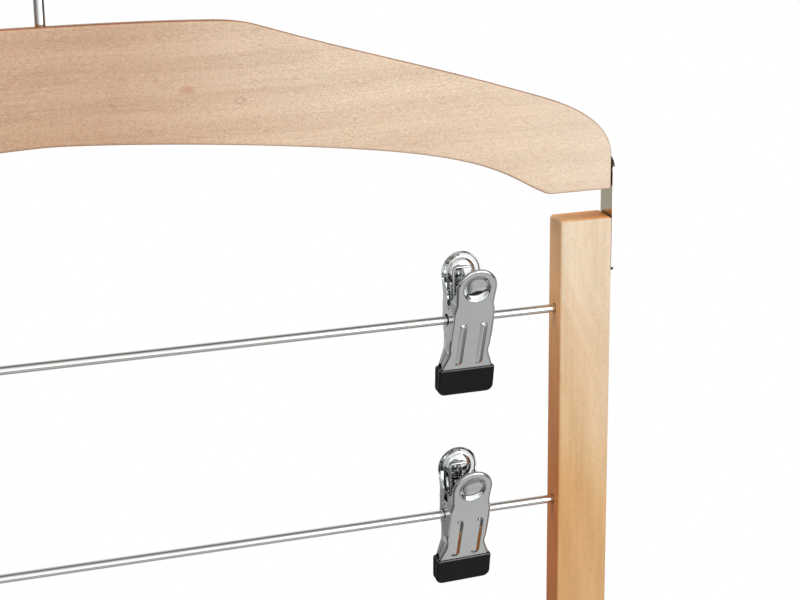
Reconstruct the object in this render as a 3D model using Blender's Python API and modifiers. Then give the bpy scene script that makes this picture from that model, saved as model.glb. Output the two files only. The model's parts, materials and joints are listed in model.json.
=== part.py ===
"""Tiered trouser hanger: a wooden crown on a swivel hook, a ladder frame of two wooden
rails and four metal rods that swings under it on two straps, and two spring clips on
each rod. Metres, +Z up, front towards -Y. The origin is the inside top of the hook."""

import math

import bmesh
import bpy
from mathutils import Matrix, Vector

# Fits
GAP = 0.0003
COAT_GAP = 0.0002

# Hook and its swivel
HOOK_WIRE = 0.0038
HOOK_SEAT_RADIUS = 0.020
HOOK_RISE = 0.068
HOOK_TIP_ANGLE = 205.0
HOOK_TURN_ANGLE = -38.0
HOOK_NECK = 0.016
HOOK_HEAD_RADIUS = 0.0034
HOOK_HEAD_HEIGHT = 0.0018
WASHER_RADIUS = 0.0046
WASHER_THICKNESS = 0.0010
COUNTERBORE_DEPTH = 0.0065

# Wooden crown
HALF_WIDTH = 0.220
WOOD_THICKNESS = 0.012
CROWN_HEIGHT = 0.0770
CROWN_INSET = 0.0004
CROWN_EASE = 0.0012
FLAT_HALF = 0.0613
CAMBER = 0.0010
CAMBER_ANGLE = 2.5
CORNER_RUN = 0.0177
CORNER_DROP = 0.0030
SLOPE_ANGLE = 18.5
SHOULDER_REACH = 0.0402
SHOULDER_HEIGHT = 0.0424
SHOULDER_ARM = 0.0129
END_HEIGHT = 0.0134
END_ARM = 0.0178
FOOT_WIDTH = 0.0268
FOOT_CORNER = 0.0012
FOOT_EASE = 0.0030
ARCH_ANGLE = 24.8
ARCH_ARM = 0.0156
HAUNCH_INSET = 0.100
HAUNCH_HEIGHT = 0.0236
HAUNCH_ANGLE = 8.1
HAUNCH_ARM = 0.0527
ARCH_HEIGHT = 0.0341
APEX_ARM = 0.0125

# Side rails
RAIL_WIDTH = 0.022
FOOT_GAP = 0.0114
RAIL_OUTER_CORNER = 0.0036
RAIL_INNER_CORNER = 0.0012
RAIL_EASE = 0.0006
RAIL_END_MARGIN = 0.0360

# Rods
TIERS = 4
FIRST_ROD_DROP = 0.0370
TIER_PITCH = 0.0823
ROD_DIAMETER = 0.0034
ROD_SOCKET_DEPTH = 0.008

# Straps and screws
STRAP_WIDTH = 0.011
STRAP_THICKNESS = 0.0010
STRAP_OVER_CROWN = 0.0126
STRAP_OVER_RAIL = 0.0225
STRAP_SCREW_PITCH = 0.0105
STRAP_CORNER = 0.0018
SCREW_DIAMETER = 0.0030
SCREW_HEAD_RADIUS = 0.0031
SCREW_HEAD_HEIGHT = 0.0010
SCREW_LENGTH = 0.0120
PIVOT_SCREW_LENGTH = 0.0160

# Clips: heights are measured up from the rod's axis, depths out from the clip's mid plane
CLIP_INSET = (0.0374, 0.0392, 0.0384, 0.0380)
CLIP_LEAN = (7.5, 10.5, 9.0, 8.0)
CLIP_TILT = (0.0, 1.8, 0.6, 1.0)
SHEET = 0.0006
NEST_GAP = 0.0002
PAD_RADIUS = 0.00836
PAD_HEIGHT = 0.0163
PAD_DEPTH = 0.00965
NECK_HALF = 0.0078
NECK_HEIGHT = 0.0092
SHOULDER_HALF = 0.00865
SHOULDER_TOP = 0.0058
SHOULDER_BOTTOM = -0.0095
WAIST_HALF = 0.00815
WAIST_HEIGHT = -0.0135
JAW_HALF = 0.0108
JAW_TOP = -0.0205
JAW_TIP = -0.0312
PLATE_DEPTH = 0.0071
JAW_BEND_HEIGHT = -0.0220
JAW_BEND_DEPTH = 0.00236
JAW_FLAT_HEIGHT = -0.0240
JAW_FLAT_DEPTH = 0.0018
FLANGE_DEPTH = 0.0018
FLANGE_END = -0.0195
WALL_GAP = 0.0002
WALL_TOP_EDGE = 0.0024
DISH_RADIUS = 0.0054
DISH_DEPTH = 0.0020
RIB_OFFSET = 0.0043
RIB_HALF = 0.0016
RIB_TOP = -0.0004
RIB_BOTTOM = -0.0178
RIB_HEIGHT = 0.0008
EAR_TOP = 0.0056
EAR_BOTTOM = -0.0090
EAR_RADIUS = 0.0050
EAR_CLEARANCE = 0.0004

# Rubber sleeves on the jaws
SLEEVE_TOP = -0.0200
SLEEVE_BOTTOM = -0.0325
SLEEVE_HALF = 0.0118
SLEEVE_INNER = 0.00015
SLEEVE_COAT = 0.0006
SLEEVE_CORNER = 0.0024
SLEEVE_EASE = 0.0005

# Torsion springs
SPRING_WIRE = 0.0012
SPRING_RADIUS = 0.0034
SPRING_TURNS = 4
SPRING_PITCH = 0.0019
SPRING_LEG_HEIGHT = 0.0192
SPRING_LEG_DEPTH = 0.0063
SPRING_BAR = 0.0075
SPRING_BEND = 0.0014
CURL_POINTS = 8

# Heights and places that follow from the sizes above
CROWN_TOP = -HOOK_RISE
FOOT_Z = CROWN_TOP - CROWN_HEIGHT
ARCH_Z = FOOT_Z + ARCH_HEIGHT
RAIL_TOP = FOOT_Z - FOOT_GAP
RAIL_BOTTOM = RAIL_TOP - FIRST_ROD_DROP - (TIERS - 1) * TIER_PITCH - RAIL_END_MARGIN
CROWN_HALF = HALF_WIDTH - CROWN_INSET
INNER_HALF = HALF_WIDTH - RAIL_WIDTH
PIVOT_Z = FOOT_Z + STRAP_OVER_CROWN - STRAP_WIDTH / 2
STRAP_TOP = FOOT_Z + STRAP_OVER_CROWN
STRAP_BOTTOM = RAIL_TOP - STRAP_OVER_RAIL
LOW_SCREW_Z = STRAP_BOTTOM + STRAP_WIDTH / 2
STRAP_X = HALF_WIDTH + GAP + STRAP_THICKNESS / 2
HEAD_X = HALF_WIDTH + GAP + STRAP_THICKNESS + GAP
ROD_RADIUS = ROD_DIAMETER / 2
ROD_HALF = INNER_HALF + ROD_SOCKET_DEPTH - GAP
SCREW_RADIUS = SCREW_DIAMETER / 2
HOOK_RADIUS = HOOK_SEAT_RADIUS + HOOK_WIRE / 2

# The curve plane turned so that its x, y run along the named axes
PLANE_XZ = Matrix.Rotation(math.pi / 2, 4, "X")
PLANE_YZ = Matrix(((0, 0, 1, 0), (1, 0, 0, 0), (0, 1, 0, 0), (0, 0, 0, 1)))
TURN_ABOUT = Matrix.Rotation(math.pi, 4, "Z")


def rod_height(tier):
    """Height of a tier's rod; tier 0 is the top one."""
    return RAIL_TOP - FIRST_ROD_DROP - tier * TIER_PITCH


def material(name, colour, roughness, metallic):
    """Principled material with one colour, roughness and metallic value."""
    made = bpy.data.materials.new(name)
    made.use_nodes = True
    shader = made.node_tree.nodes["Principled BSDF"]
    shader.inputs["Base Color"].default_value = (*colour, 1.0)
    shader.inputs["Roughness"].default_value = roughness
    shader.inputs["Metallic"].default_value = metallic
    return made


def collection(name):
    """New collection in the scene."""
    made = bpy.data.collections.new(name)
    bpy.context.scene.collection.children.link(made)
    return made


def evaluated_mesh(obj):
    """The object's mesh with its modifiers or bevel, welded, as a new mesh."""
    graph = bpy.context.evaluated_depsgraph_get()
    mesh = bpy.data.meshes.new_from_object(obj.evaluated_get(graph))
    sheet = bmesh.new()
    sheet.from_mesh(mesh)
    bmesh.ops.remove_doubles(sheet, verts=sheet.verts, dist=1e-6)
    sheet.to_mesh(mesh)
    sheet.free()
    return mesh


def frozen(obj):
    """Replace a temporary object by the mesh that it evaluates to."""
    mesh = evaluated_mesh(obj)
    bpy.data.objects.remove(obj)
    return mesh


def temporary(name, data):
    """Object in the cutters collection, never drawn."""
    obj = bpy.data.objects.new(name, data)
    obj.hide_render = True
    obj.display_type = "WIRE"
    CUTTERS.objects.link(obj)
    return obj


def outline_mesh(name, loops, thickness, plane):
    """Flat plate: closed loops of points in a plane, the first round the rest."""
    curve = bpy.data.curves.new(name, "CURVE")
    curve.dimensions = "2D"
    curve.fill_mode = "BOTH"
    curve.extrude = thickness / 2
    for loop in loops:
        spline = curve.splines.new("POLY")
        spline.points.add(len(loop) - 1)
        for point, (x, y) in zip(spline.points, loop):
            point.co = (x, y, 0.0, 1.0)
        spline.use_cyclic_u = True
    mesh = frozen(temporary(name, curve))
    mesh.transform(plane)
    return mesh


def sweep(start, start_angle, start_arm, end, end_angle, end_arm, steps):
    """Points of a cubic curve between two places with a heading, in degrees, and an arm at
    each; without the end itself."""
    first, last = math.radians(start_angle), math.radians(end_angle)
    handle = (start[0] + start_arm * math.cos(first), start[1] + start_arm * math.sin(first))
    other = (end[0] - end_arm * math.cos(last), end[1] - end_arm * math.sin(last))
    points = []
    for step in range(steps):
        t = step / steps
        weights = ((1 - t) ** 3, 3 * (1 - t) ** 2 * t, 3 * (1 - t) * t * t, t ** 3)
        corners = (start, handle, other, end)
        points.append(tuple(sum(w * p[axis] for w, p in zip(weights, corners)) for axis in (0, 1)))
    return points


def arc(centre, radius, start, end, steps):
    """Points on a circle from start to end, in degrees, both ends included."""
    points = []
    for step in range(steps + 1):
        angle = math.radians(start + (end - start) * step / steps)
        points.append((centre[0] + radius * math.cos(angle), centre[1] + radius * math.sin(angle)))
    return points


def turned_mesh(name, profile, steps):
    """Solid of revolution about Z from (radius, height) points, top to bottom."""
    mesh = bpy.data.meshes.new(name)
    edges = [(i, i + 1) for i in range(len(profile) - 1)]
    mesh.from_pydata([(radius, 0, height) for radius, height in profile], edges, [])
    obj = temporary(name, mesh)
    screw = obj.modifiers.new("Screw", "SCREW")
    screw.steps = steps
    screw.render_steps = steps
    screw.use_merge_vertices = True
    screw.merge_threshold = 0.00001
    return frozen(obj)


def cylinder_mesh(name, radius, length, sides, along):
    """Cylinder centred on its own origin, along X or Z."""
    shape = bmesh.new()
    bmesh.ops.create_cone(shape, cap_ends=True, segments=sides, radius1=radius, radius2=radius,
                          depth=length)
    if along == "X":
        bmesh.ops.transform(shape, matrix=Matrix.Rotation(math.pi / 2, 4, "Y"), verts=shape.verts)
    mesh = bpy.data.meshes.new(name)
    shape.to_mesh(mesh)
    shape.free()
    return mesh


def tube_mesh(name, points, diameter, resolution):
    """Round wire through the points with closed ends."""
    curve = bpy.data.curves.new(name, "CURVE")
    curve.dimensions = "3D"
    curve.bevel_depth = diameter / 2
    curve.bevel_resolution = resolution
    curve.use_fill_caps = True
    spline = curve.splines.new("POLY")
    spline.points.add(len(points) - 1)
    for point, place in zip(spline.points, points):
        point.co = (*place, 1.0)
    return frozen(temporary(name, curve))


def boolean(obj, operation, mesh, place=(0, 0, 0)):
    """Cut a mesh out of an object, or join it on."""
    tool = temporary(obj.name + "_tool", mesh)
    tool.location = place
    modifier = obj.modifiers.new("Boolean", "BOOLEAN")
    modifier.operation = operation
    modifier.solver = "EXACT"
    modifier.object = tool


def ease(obj, width, angle):
    """Chamfer every edge that is sharper than the angle."""
    bevel = obj.modifiers.new("Bevel", "BEVEL")
    bevel.width = width
    bevel.segments = 1
    bevel.limit_method = "ANGLE"
    bevel.angle_limit = math.radians(angle)


def piece(name, mesh, finish, parent=None, place=(0, 0, 0), lean=0.0, tilt=0.0):
    """Named sub-part at a world place, with its origin there, under its parent. It is first
    tilted sideways about Y and then leaned about X."""
    obj = bpy.data.objects.new(name, mesh)
    PARTS.objects.link(obj)
    mesh.materials.clear()
    mesh.materials.append(finish)
    mesh.shade_smooth()
    mesh.set_sharp_from_angle(angle=math.radians(32))
    obj.location = Vector(place)
    if parent is not None:
        obj.parent = parent
        obj.location -= WORLD_PLACE[parent.name]
    obj.rotation_mode = "YXZ"
    obj.rotation_euler = (math.radians(lean), math.radians(tilt), 0)
    return obj


def joint_empty(name, place, parent=None):
    """Empty on a joint's axis that carries the pieces of one moving group."""
    empty = bpy.data.objects.new(name, None)
    PARTS.objects.link(empty)
    WORLD_PLACE[name] = Vector(place)
    empty.location = Vector(place)
    if parent is not None:
        empty.parent = parent
        empty.location -= WORLD_PLACE[parent.name]
    return empty


def hook_path():
    """Centre line of the hook: over the seat, round the far side and down the shank."""
    crook = arc((0.0, -HOOK_SEAT_RADIUS), HOOK_RADIUS, HOOK_TIP_ANGLE, HOOK_TURN_ANGLE, 20)
    neck_top = (0.0, CROWN_TOP + HOOK_NECK)
    neck = sweep(crook[-1], HOOK_TURN_ANGLE - 90, HOOK_RADIUS / 2, neck_top, -90, HOOK_RADIUS / 2, 7)
    shank = [neck_top, (0.0, hook_head_top() - HOOK_HEAD_HEIGHT / 2)]
    return [(x, 0.0, z) for x, z in crook[:-1] + neck + shank]


def hook_head_top():
    """Height of the upset head's upper face, under the washer."""
    return ARCH_Z + COUNTERBORE_DEPTH - 2 * GAP - WASHER_THICKNESS


def make_hook(finish):
    """Wire hook whose shank turns in the crown and ends in an upset head."""
    hook = piece("hook", tube_mesh("hook", hook_path(), HOOK_WIRE, 2), finish)
    top = HOOK_HEAD_HEIGHT / 2
    head = turned_mesh("hook_head", [(0, top), (HOOK_HEAD_RADIUS, top), (HOOK_HEAD_RADIUS, -top / 3),
                                     (HOOK_HEAD_RADIUS * 0.6, -top), (0, -top)], 12)
    boolean(hook, "UNION", head, (0, 0, hook_head_top() - top))


def make_swivel_washer(finish, parent):
    """Washer that carries the crown on the hook's head."""
    ring = [arc((0, 0), WASHER_RADIUS, 0, 345, 23), arc((0, 0), HOOK_WIRE / 2 + GAP, 0, 330, 11)]
    mesh = outline_mesh("swivel_washer", ring, WASHER_THICKNESS, Matrix.Identity(4))
    height = hook_head_top() + GAP + WASHER_THICKNESS / 2
    piece("swivel_washer", mesh, finish, parent, (0, 0, height))


def crown_half_outline():
    """Right half of the crown's outline, from its top centre round to its arch centre."""
    corner = (FLAT_HALF, CROWN_TOP - CAMBER)
    slope = (FLAT_HALF + CORNER_RUN, CROWN_TOP - CAMBER - CORNER_DROP)
    shoulder = (CROWN_HALF - SHOULDER_REACH, FOOT_Z + SHOULDER_HEIGHT)
    run = math.dist(slope, shoulder)
    end_top = (CROWN_HALF, FOOT_Z + END_HEIGHT)
    foot_inner = CROWN_HALF - FOOT_WIDTH
    rise = math.radians(ARCH_ANGLE)
    spring = (foot_inner - FOOT_EASE * math.cos(rise), FOOT_Z + FOOT_EASE * math.sin(rise))
    haunch = (CROWN_HALF - HAUNCH_INSET, FOOT_Z + HAUNCH_HEIGHT)
    points = sweep((0.0, CROWN_TOP), 0, FLAT_HALF / 3, corner, -CAMBER_ANGLE, FLAT_HALF / 3, 3)
    points += sweep(corner, -CAMBER_ANGLE, CORNER_RUN * 0.4, slope, -SLOPE_ANGLE, CORNER_RUN * 0.4, 4)
    points += sweep(slope, -SLOPE_ANGLE, run / 3, shoulder, -SLOPE_ANGLE, run / 3, 3)
    points += sweep(shoulder, -SLOPE_ANGLE, SHOULDER_ARM, end_top, -90, END_ARM, 9)
    points.append(end_top)
    points += arc((CROWN_HALF - FOOT_CORNER, FOOT_Z + FOOT_CORNER), FOOT_CORNER, 0, -90, 2)
    points += sweep((foot_inner + FOOT_EASE, FOOT_Z), 180, FOOT_EASE * 0.67, spring, 180 - ARCH_ANGLE,
                    FOOT_EASE * 0.67, 3)
    points += sweep(spring, 180 - ARCH_ANGLE, ARCH_ARM, haunch, 180 - HAUNCH_ANGLE, HAUNCH_ARM, 8)
    points += sweep(haunch, 180 - HAUNCH_ANGLE, HAUNCH_ARM, (0.0, ARCH_Z), 180, APEX_ARM, 6)
    points.append((0.0, ARCH_Z))
    return points


def make_crown(finish, parent):
    """Wooden crown: a flat board with eased edges, bored for the hook and the pivot screws."""
    half = crown_half_outline()
    outline = half + [(-x, z) for x, z in reversed(half[1:-1])]
    crown = piece("crown", outline_mesh("crown", [outline], WOOD_THICKNESS, PLANE_XZ), finish, parent)
    ease(crown, CROWN_EASE, 50)
    bore = HOOK_WIRE / 2 + GAP
    depth = CROWN_TOP - ARCH_Z + 2 * HOOK_WIRE
    boolean(crown, "DIFFERENCE", cylinder_mesh("bore", bore, depth, 12, "Z"),
            (0, 0, (CROWN_TOP + ARCH_Z) / 2))
    recess = cylinder_mesh("counterbore", WASHER_RADIUS + GAP, 2 * COUNTERBORE_DEPTH, 16, "Z")
    boolean(crown, "DIFFERENCE", recess, (0, 0, ARCH_Z))
    for side in (-1, 1):
        pilot = cylinder_mesh("pilot", SCREW_RADIUS + GAP, 2 * PIVOT_SCREW_LENGTH, 10, "X")
        boolean(crown, "DIFFERENCE", pilot, (side * CROWN_HALF, 0, PIVOT_Z))


def rail_outline(side):
    """Rail seen from the front: the outer corners are rounded more than the inner ones."""
    far, near = RAIL_OUTER_CORNER, RAIL_INNER_CORNER
    points = arc((HALF_WIDTH - far, RAIL_TOP - far), far, 90, 0, 4)
    points += arc((HALF_WIDTH - far, RAIL_BOTTOM + far), far, 0, -90, 4)
    points += arc((INNER_HALF + near, RAIL_BOTTOM + near), near, -90, -180, 2)
    points += arc((INNER_HALF + near, RAIL_TOP - near), near, 180, 90, 2)
    return [(side * x, z) for x, z in points]


def make_rail(name, side, finish, parent):
    """Side rail with a blind socket for each rod and two pilot holes for its strap."""
    mesh = outline_mesh(name, [rail_outline(side)], WOOD_THICKNESS, PLANE_XZ)
    rail = piece(name, mesh, finish, parent, (0, 0, PIVOT_Z))
    mesh.transform(Matrix.Translation((0, 0, -PIVOT_Z)))
    ease(rail, RAIL_EASE, 50)
    for tier in range(TIERS):
        socket = cylinder_mesh("socket", ROD_RADIUS + GAP, 2 * ROD_SOCKET_DEPTH, 12, "X")
        boolean(rail, "DIFFERENCE", socket, (side * INNER_HALF, 0, rod_height(tier)))
    for height in strap_screw_heights():
        pilot = cylinder_mesh("pilot", SCREW_RADIUS + GAP, 2 * SCREW_LENGTH, 10, "X")
        boolean(rail, "DIFFERENCE", pilot, (side * HALF_WIDTH, 0, height))


def strap_screw_heights():
    """Heights of the two screws that hold a strap to its rail."""
    return (LOW_SCREW_Z, LOW_SCREW_Z + STRAP_SCREW_PITCH)


def make_strap(name, side, finish, parent):
    """Flat strap, its top end round: loose on the pivot screw, screwed to the rail."""
    radius, corner = STRAP_WIDTH / 2, STRAP_CORNER
    loop = arc((0, PIVOT_Z), radius, 0, 180, 8)
    loop += arc((corner - radius, STRAP_BOTTOM + corner), corner, 180, 270, 3)
    loop += arc((radius - corner, STRAP_BOTTOM + corner), corner, 270, 360, 3)
    loops = [loop]
    for height in (PIVOT_Z, *strap_screw_heights()):
        loops.append(arc((0, height), SCREW_RADIUS + GAP, 0, 324, 9))
    mesh = outline_mesh(name, loops, STRAP_THICKNESS, PLANE_YZ)
    mesh.transform(Matrix.Translation((side * STRAP_X, 0, -PIVOT_Z)))
    piece(name, mesh, finish, parent, (0, 0, PIVOT_Z))


def screw_mesh(name, length):
    """Wood screw with a low domed head, its head's underside at the origin."""
    head = SCREW_HEAD_RADIUS
    profile = [(0, SCREW_HEAD_HEIGHT), (head * 0.62, SCREW_HEAD_HEIGHT * 0.72), (head, 0),
               (SCREW_RADIUS, 0), (SCREW_RADIUS, -length * 0.8), (0, -length)]
    return turned_mesh(name, profile, 10)


def make_screw(name, mesh, side, height, finish, parent):
    """Screw through a strap into the wood, its head on the strap."""
    screw = piece(name, mesh, finish, parent, (side * HEAD_X, 0, height))
    screw.rotation_euler = (0, side * math.pi / 2, 0)


def make_screws(finish, crown_parent, frame_parent):
    """Pivot screws in the crown and strap screws in the rails."""
    pivot = screw_mesh("pivot_screw", PIVOT_SCREW_LENGTH)
    fixing = screw_mesh("strap_screw", SCREW_LENGTH)
    for side_name, side in (("left", -1), ("right", 1)):
        make_screw("pivot_screw_" + side_name, pivot, side, PIVOT_Z, finish, crown_parent)
        for level, height in zip(("lower", "upper"), strap_screw_heights()):
            name = "strap_screw_%s_%s" % (side_name, level)
            make_screw(name, fixing, side, height, finish, frame_parent)


def plate_depth(height):
    """Depth of a jaw's outer face at a height: straight runs between the bends."""
    if height >= 0:
        return PLATE_DEPTH + (PAD_DEPTH - PLATE_DEPTH) * height / PAD_HEIGHT
    if height >= JAW_BEND_HEIGHT:
        return PLATE_DEPTH + (JAW_BEND_DEPTH - PLATE_DEPTH) * height / JAW_BEND_HEIGHT
    if height >= JAW_FLAT_HEIGHT:
        share = (height - JAW_BEND_HEIGHT) / (JAW_FLAT_HEIGHT - JAW_BEND_HEIGHT)
        return JAW_BEND_DEPTH + (JAW_FLAT_DEPTH - JAW_BEND_DEPTH) * share
    return JAW_FLAT_DEPTH


def jaw_outline(shoulder):
    """Outline of a jaw's blank: round pad, neck, shoulders, waist and flared jaw. Two of its
    points mark where the turned-in edge stops above the sleeve."""
    share = (FLANGE_END - JAW_TOP) / (WAIST_HEIGHT - JAW_TOP)
    stop = JAW_HALF + (WAIST_HALF - JAW_HALF) * share
    pad = arc((0, PAD_HEIGHT), PAD_RADIUS, 90, 0, 3)
    side = [(NECK_HALF, NECK_HEIGHT), (shoulder, SHOULDER_TOP), (shoulder, SHOULDER_BOTTOM),
            (WAIST_HALF, WAIST_HEIGHT), (stop, FLANGE_END), (JAW_HALF, JAW_TOP), (JAW_HALF, JAW_TIP)]
    half = pad + side
    return half + [(-x, y) for x, y in reversed(half[1:])]


def rib_outline(centre):
    """Long rib with pointed round ends, in the blank's plane."""
    end = RIB_HALF * 0.8
    return [(centre, RIB_TOP), (centre + RIB_HALF, RIB_TOP - end), (centre + RIB_HALF, RIB_BOTTOM + end),
            (centre, RIB_BOTTOM), (centre - RIB_HALF, RIB_BOTTOM + end), (centre - RIB_HALF, RIB_TOP - end)]


def add_loop(sheet, loop):
    """Closed loop of edges in the sheet's plane, returned as its vertices."""
    verts = [sheet.verts.new((x, 0.0, z)) for x, z in loop]
    for first, second in zip(verts, verts[1:] + verts[:1]):
        sheet.edges.new((first, second))
    return verts


def stepped_ring(sheet, ring, centre, scale, shift):
    """Wall from a ring to a scaled copy of it, moved out or in by shift."""
    copy = []
    for vert in ring:
        spread = (vert.co - centre) * scale
        copy.append(sheet.verts.new(centre + spread + Vector((0, shift, 0))))
    count = len(ring)
    for i in range(count):
        j = (i + 1) % count
        sheet.faces.new((ring[i], ring[j], copy[j], copy[i]))
    return copy


def press_dish(sheet, ring):
    """Thumb dish pressed into the pad, as rings of a shallow bowl."""
    centre = Vector((0, 0, PAD_HEIGHT))
    middle = stepped_ring(sheet, ring, centre, 0.62, -DISH_DEPTH * 0.66)
    sheet.faces.new(stepped_ring(sheet, middle, centre + Vector((0, -DISH_DEPTH * 0.66, 0)), 0.30,
                                 -DISH_DEPTH * 0.34))


def press_rib(sheet, ring):
    """Rib pressed outward from the sheet, narrower at its crest."""
    centre = sum((vert.co for vert in ring), Vector()) / len(ring)
    crest = stepped_ring(sheet, ring, centre, 1.0, RIB_HEIGHT)
    for vert in crest:
        vert.co.x = centre.x + (vert.co.x - centre.x) * 0.45
        vert.co.z = centre.z + (vert.co.z - centre.z) * 0.93
    sheet.faces.new(crest)


def wall_depth(height):
    """How far the turned-in edge reaches: a narrow flange round the pad, and a wall that
    meets the other jaw's below the rod."""
    if height > NECK_HEIGHT - GAP:
        return FLANGE_DEPTH
    if height > 0:
        return plate_depth(height) - WALL_TOP_EDGE
    return plate_depth(height) - WALL_GAP


def turn_flange(sheet, outline):
    """Turned-in edge round the jaw above its sleeve."""
    inner = {vert: sheet.verts.new(vert.co - Vector((0, wall_depth(vert.co.z), 0)))
             for vert in outline if vert.co.z > FLANGE_END - WALL_GAP}
    for first, second in zip(outline, outline[1:] + outline[:1]):
        if first in inner and second in inner:
            sheet.faces.new((second, first, inner[first], inner[second]))


def bend_sheet(sheet):
    """Put the bends into the flat sheet at their heights."""
    for height in (0.0, JAW_BEND_HEIGHT, JAW_FLAT_HEIGHT):
        geometry = sheet.verts[:] + sheet.edges[:] + sheet.faces[:]
        bmesh.ops.bisect_plane(sheet, geom=geometry, dist=1e-7, plane_co=(0, 0, height),
                               plane_no=(0, 0, 1))
    for vert in sheet.verts:
        vert.co.y += plate_depth(vert.co.z)


def jaw_sheet_mesh(name, shoulder):
    """Outer face of a jaw as an open sheet: face, dish, ribs and flange, then its bends."""
    sheet = bmesh.new()
    edge = add_loop(sheet, jaw_outline(shoulder))
    dish = add_loop(sheet, arc((0, PAD_HEIGHT), DISH_RADIUS, 0, 324, 9))
    ribs = [add_loop(sheet, rib_outline(centre)) for centre in (-RIB_OFFSET, RIB_OFFSET)]
    bmesh.ops.triangle_fill(sheet, use_beauty=True, edges=sheet.edges[:], normal=(0, 1, 0))
    press_dish(sheet, dish)
    for rib in ribs:
        press_rib(sheet, rib)
    turn_flange(sheet, edge)
    bend_sheet(sheet)
    bmesh.ops.recalc_face_normals(sheet, faces=sheet.faces)
    mesh = bpy.data.meshes.new(name)
    sheet.to_mesh(mesh)
    sheet.free()
    return mesh


def ear_mesh(name):
    """Ear that carries the jaw on the rod, in the plane across the rod; its far end lies on
    a circle round the rod, so that it clears the other jaw as the clip opens."""
    root = SHEET / 2
    tip = arc((0, 0), EAR_RADIUS, 95, 215, 4)
    outline = [(plate_depth(EAR_TOP) - root, EAR_TOP), *tip, (WALL_GAP, EAR_BOTTOM),
               (plate_depth(EAR_BOTTOM) - root, EAR_BOTTOM), (plate_depth(0) - root, 0.0)]
    hole = arc((0, 0), ROD_RADIUS + EAR_CLEARANCE, 0, 330, 11)
    return outline_mesh(name, [outline, hole], SHEET, PLANE_YZ)


def jaw_mesh(name, shoulder):
    """One stamped jaw: the sheet at full thickness with its two ears joined on."""
    jaw = temporary(name, jaw_sheet_mesh(name, shoulder))
    solid = jaw.modifiers.new("Solidify", "SOLIDIFY")
    solid.thickness = SHEET
    solid.offset = -1.0
    solid.use_even_offset = True
    for side in (-1, 1):
        boolean(jaw, "UNION", ear_mesh(name + "_ear"), (side * (shoulder - SHEET / 2), 0, 0))
    return frozen(jaw)


def sleeve_outer(height):
    """Depth of a sleeve's outer face, thinner towards the tip."""
    top = plate_depth(SLEEVE_TOP) + COAT_GAP + SLEEVE_COAT
    tip = JAW_FLAT_DEPTH + COAT_GAP + SLEEVE_COAT
    return top + (tip - top) * (SLEEVE_TOP - height) / (SLEEVE_TOP - SLEEVE_BOTTOM)


def sleeve_outline():
    """Sleeve seen from the front, with round lower corners."""
    low, top = SLEEVE_CORNER, SLEEVE_EASE
    half = arc((SLEEVE_HALF - top, SLEEVE_TOP - top), top, 90, 0, 1)
    half += arc((SLEEVE_HALF - low, SLEEVE_BOTTOM + low), low, 0, -90, 3)
    return half + [(-x, z) for x, z in reversed(half)]


def sleeve_mesh(name):
    """Rubber sleeve: a rounded block with a pocket that takes the jaw's end."""
    mesh = outline_mesh(name, [sleeve_outline()], 1.0, PLANE_XZ)
    for vert in mesh.vertices:
        vert.co.y = sleeve_outer(vert.co.z) if vert.co.y > 0 else SLEEVE_INNER
    sleeve = temporary(name, mesh)
    ease(sleeve, SLEEVE_EASE, 50)
    inward = SHEET + COAT_GAP
    heights = (FLANGE_END, JAW_BEND_HEIGHT, JAW_FLAT_HEIGHT, JAW_TIP - COAT_GAP)
    pocket = [(plate_depth(height) + COAT_GAP, height) for height in heights]
    pocket += [(plate_depth(height) - inward, height) for height in reversed(heights)]
    cutter = outline_mesh(name + "_pocket", [pocket], 2 * (JAW_HALF + COAT_GAP), PLANE_YZ)
    boolean(sleeve, "DIFFERENCE", cutter)
    return frozen(sleeve)


def spring_path():
    """Centre line of a torsion spring: cross bar, leg, coil round the rod, leg, cross bar."""
    half = (SPRING_TURNS + 0.5) * SPRING_PITCH / 2
    bend = SPRING_BEND
    top = Vector((-half, SPRING_LEG_DEPTH, SPRING_LEG_HEIGHT))
    foot = Vector((-half, SPRING_RADIUS, 0))
    lean = (foot - top).normalized()
    start = [top + Vector((SPRING_BAR, 0, 0)), top + Vector((bend, 0, 0)),
             top + (Vector((bend, 0, 0)) + lean * bend) * 0.29, top + lean * bend,
             foot - lean * SPRING_RADIUS / 2]
    coil = []
    count = round((SPRING_TURNS + 0.5) * CURL_POINTS)
    for step in range(count + 1):
        angle = -2 * math.pi * step / CURL_POINTS
        along = -half + 2 * half * step / count
        coil.append(Vector((along, SPRING_RADIUS * math.cos(angle), SPRING_RADIUS * math.sin(angle))))
    end = [Vector((-p.x, -p.y, p.z)) for p in reversed(start)]
    return start + coil + end


def least_gap(points, diameter):
    """Least clear distance between stretches of the wire that aren't neighbours."""
    least = math.inf
    reach = CURL_POINTS // 2
    for i, first in enumerate(points):
        for second in points[i + reach:]:
            least = min(least, (first - second).length - diameter)
    return least


def clip_meshes():
    """Meshes shared by all the clips, named by role."""
    path = spring_path()
    print("spring: least gap to itself %.2f mm" % (least_gap(path, SPRING_WIRE) * 1000))
    meshes = {"rear_jaw": jaw_mesh("rear_jaw", SHOULDER_HALF - SHEET - NEST_GAP),
              "front_jaw": jaw_mesh("front_jaw", SHOULDER_HALF),
              "rear_sleeve": sleeve_mesh("rear_sleeve"),
              "spring": tube_mesh("spring", path, SPRING_WIRE, 1)}
    meshes["front_sleeve"] = meshes["rear_sleeve"].copy()
    for role in ("front_jaw", "front_sleeve"):
        meshes[role].transform(TURN_ABOUT)
    return meshes


def make_clip(tier, side_name, side, meshes, finishes, parent):
    """One clip on a rod: two jaws with sleeves and the spring between them."""
    place = Vector((side * (INNER_HALF - CLIP_INSET[tier]), 0, rod_height(tier)))
    for role, mesh in meshes.items():
        name = "%s_%d_%s" % (role, tier + 1, side_name)
        piece(name, mesh, finishes[role], parent, place, CLIP_LEAN[tier], -side * CLIP_TILT[tier])


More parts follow.
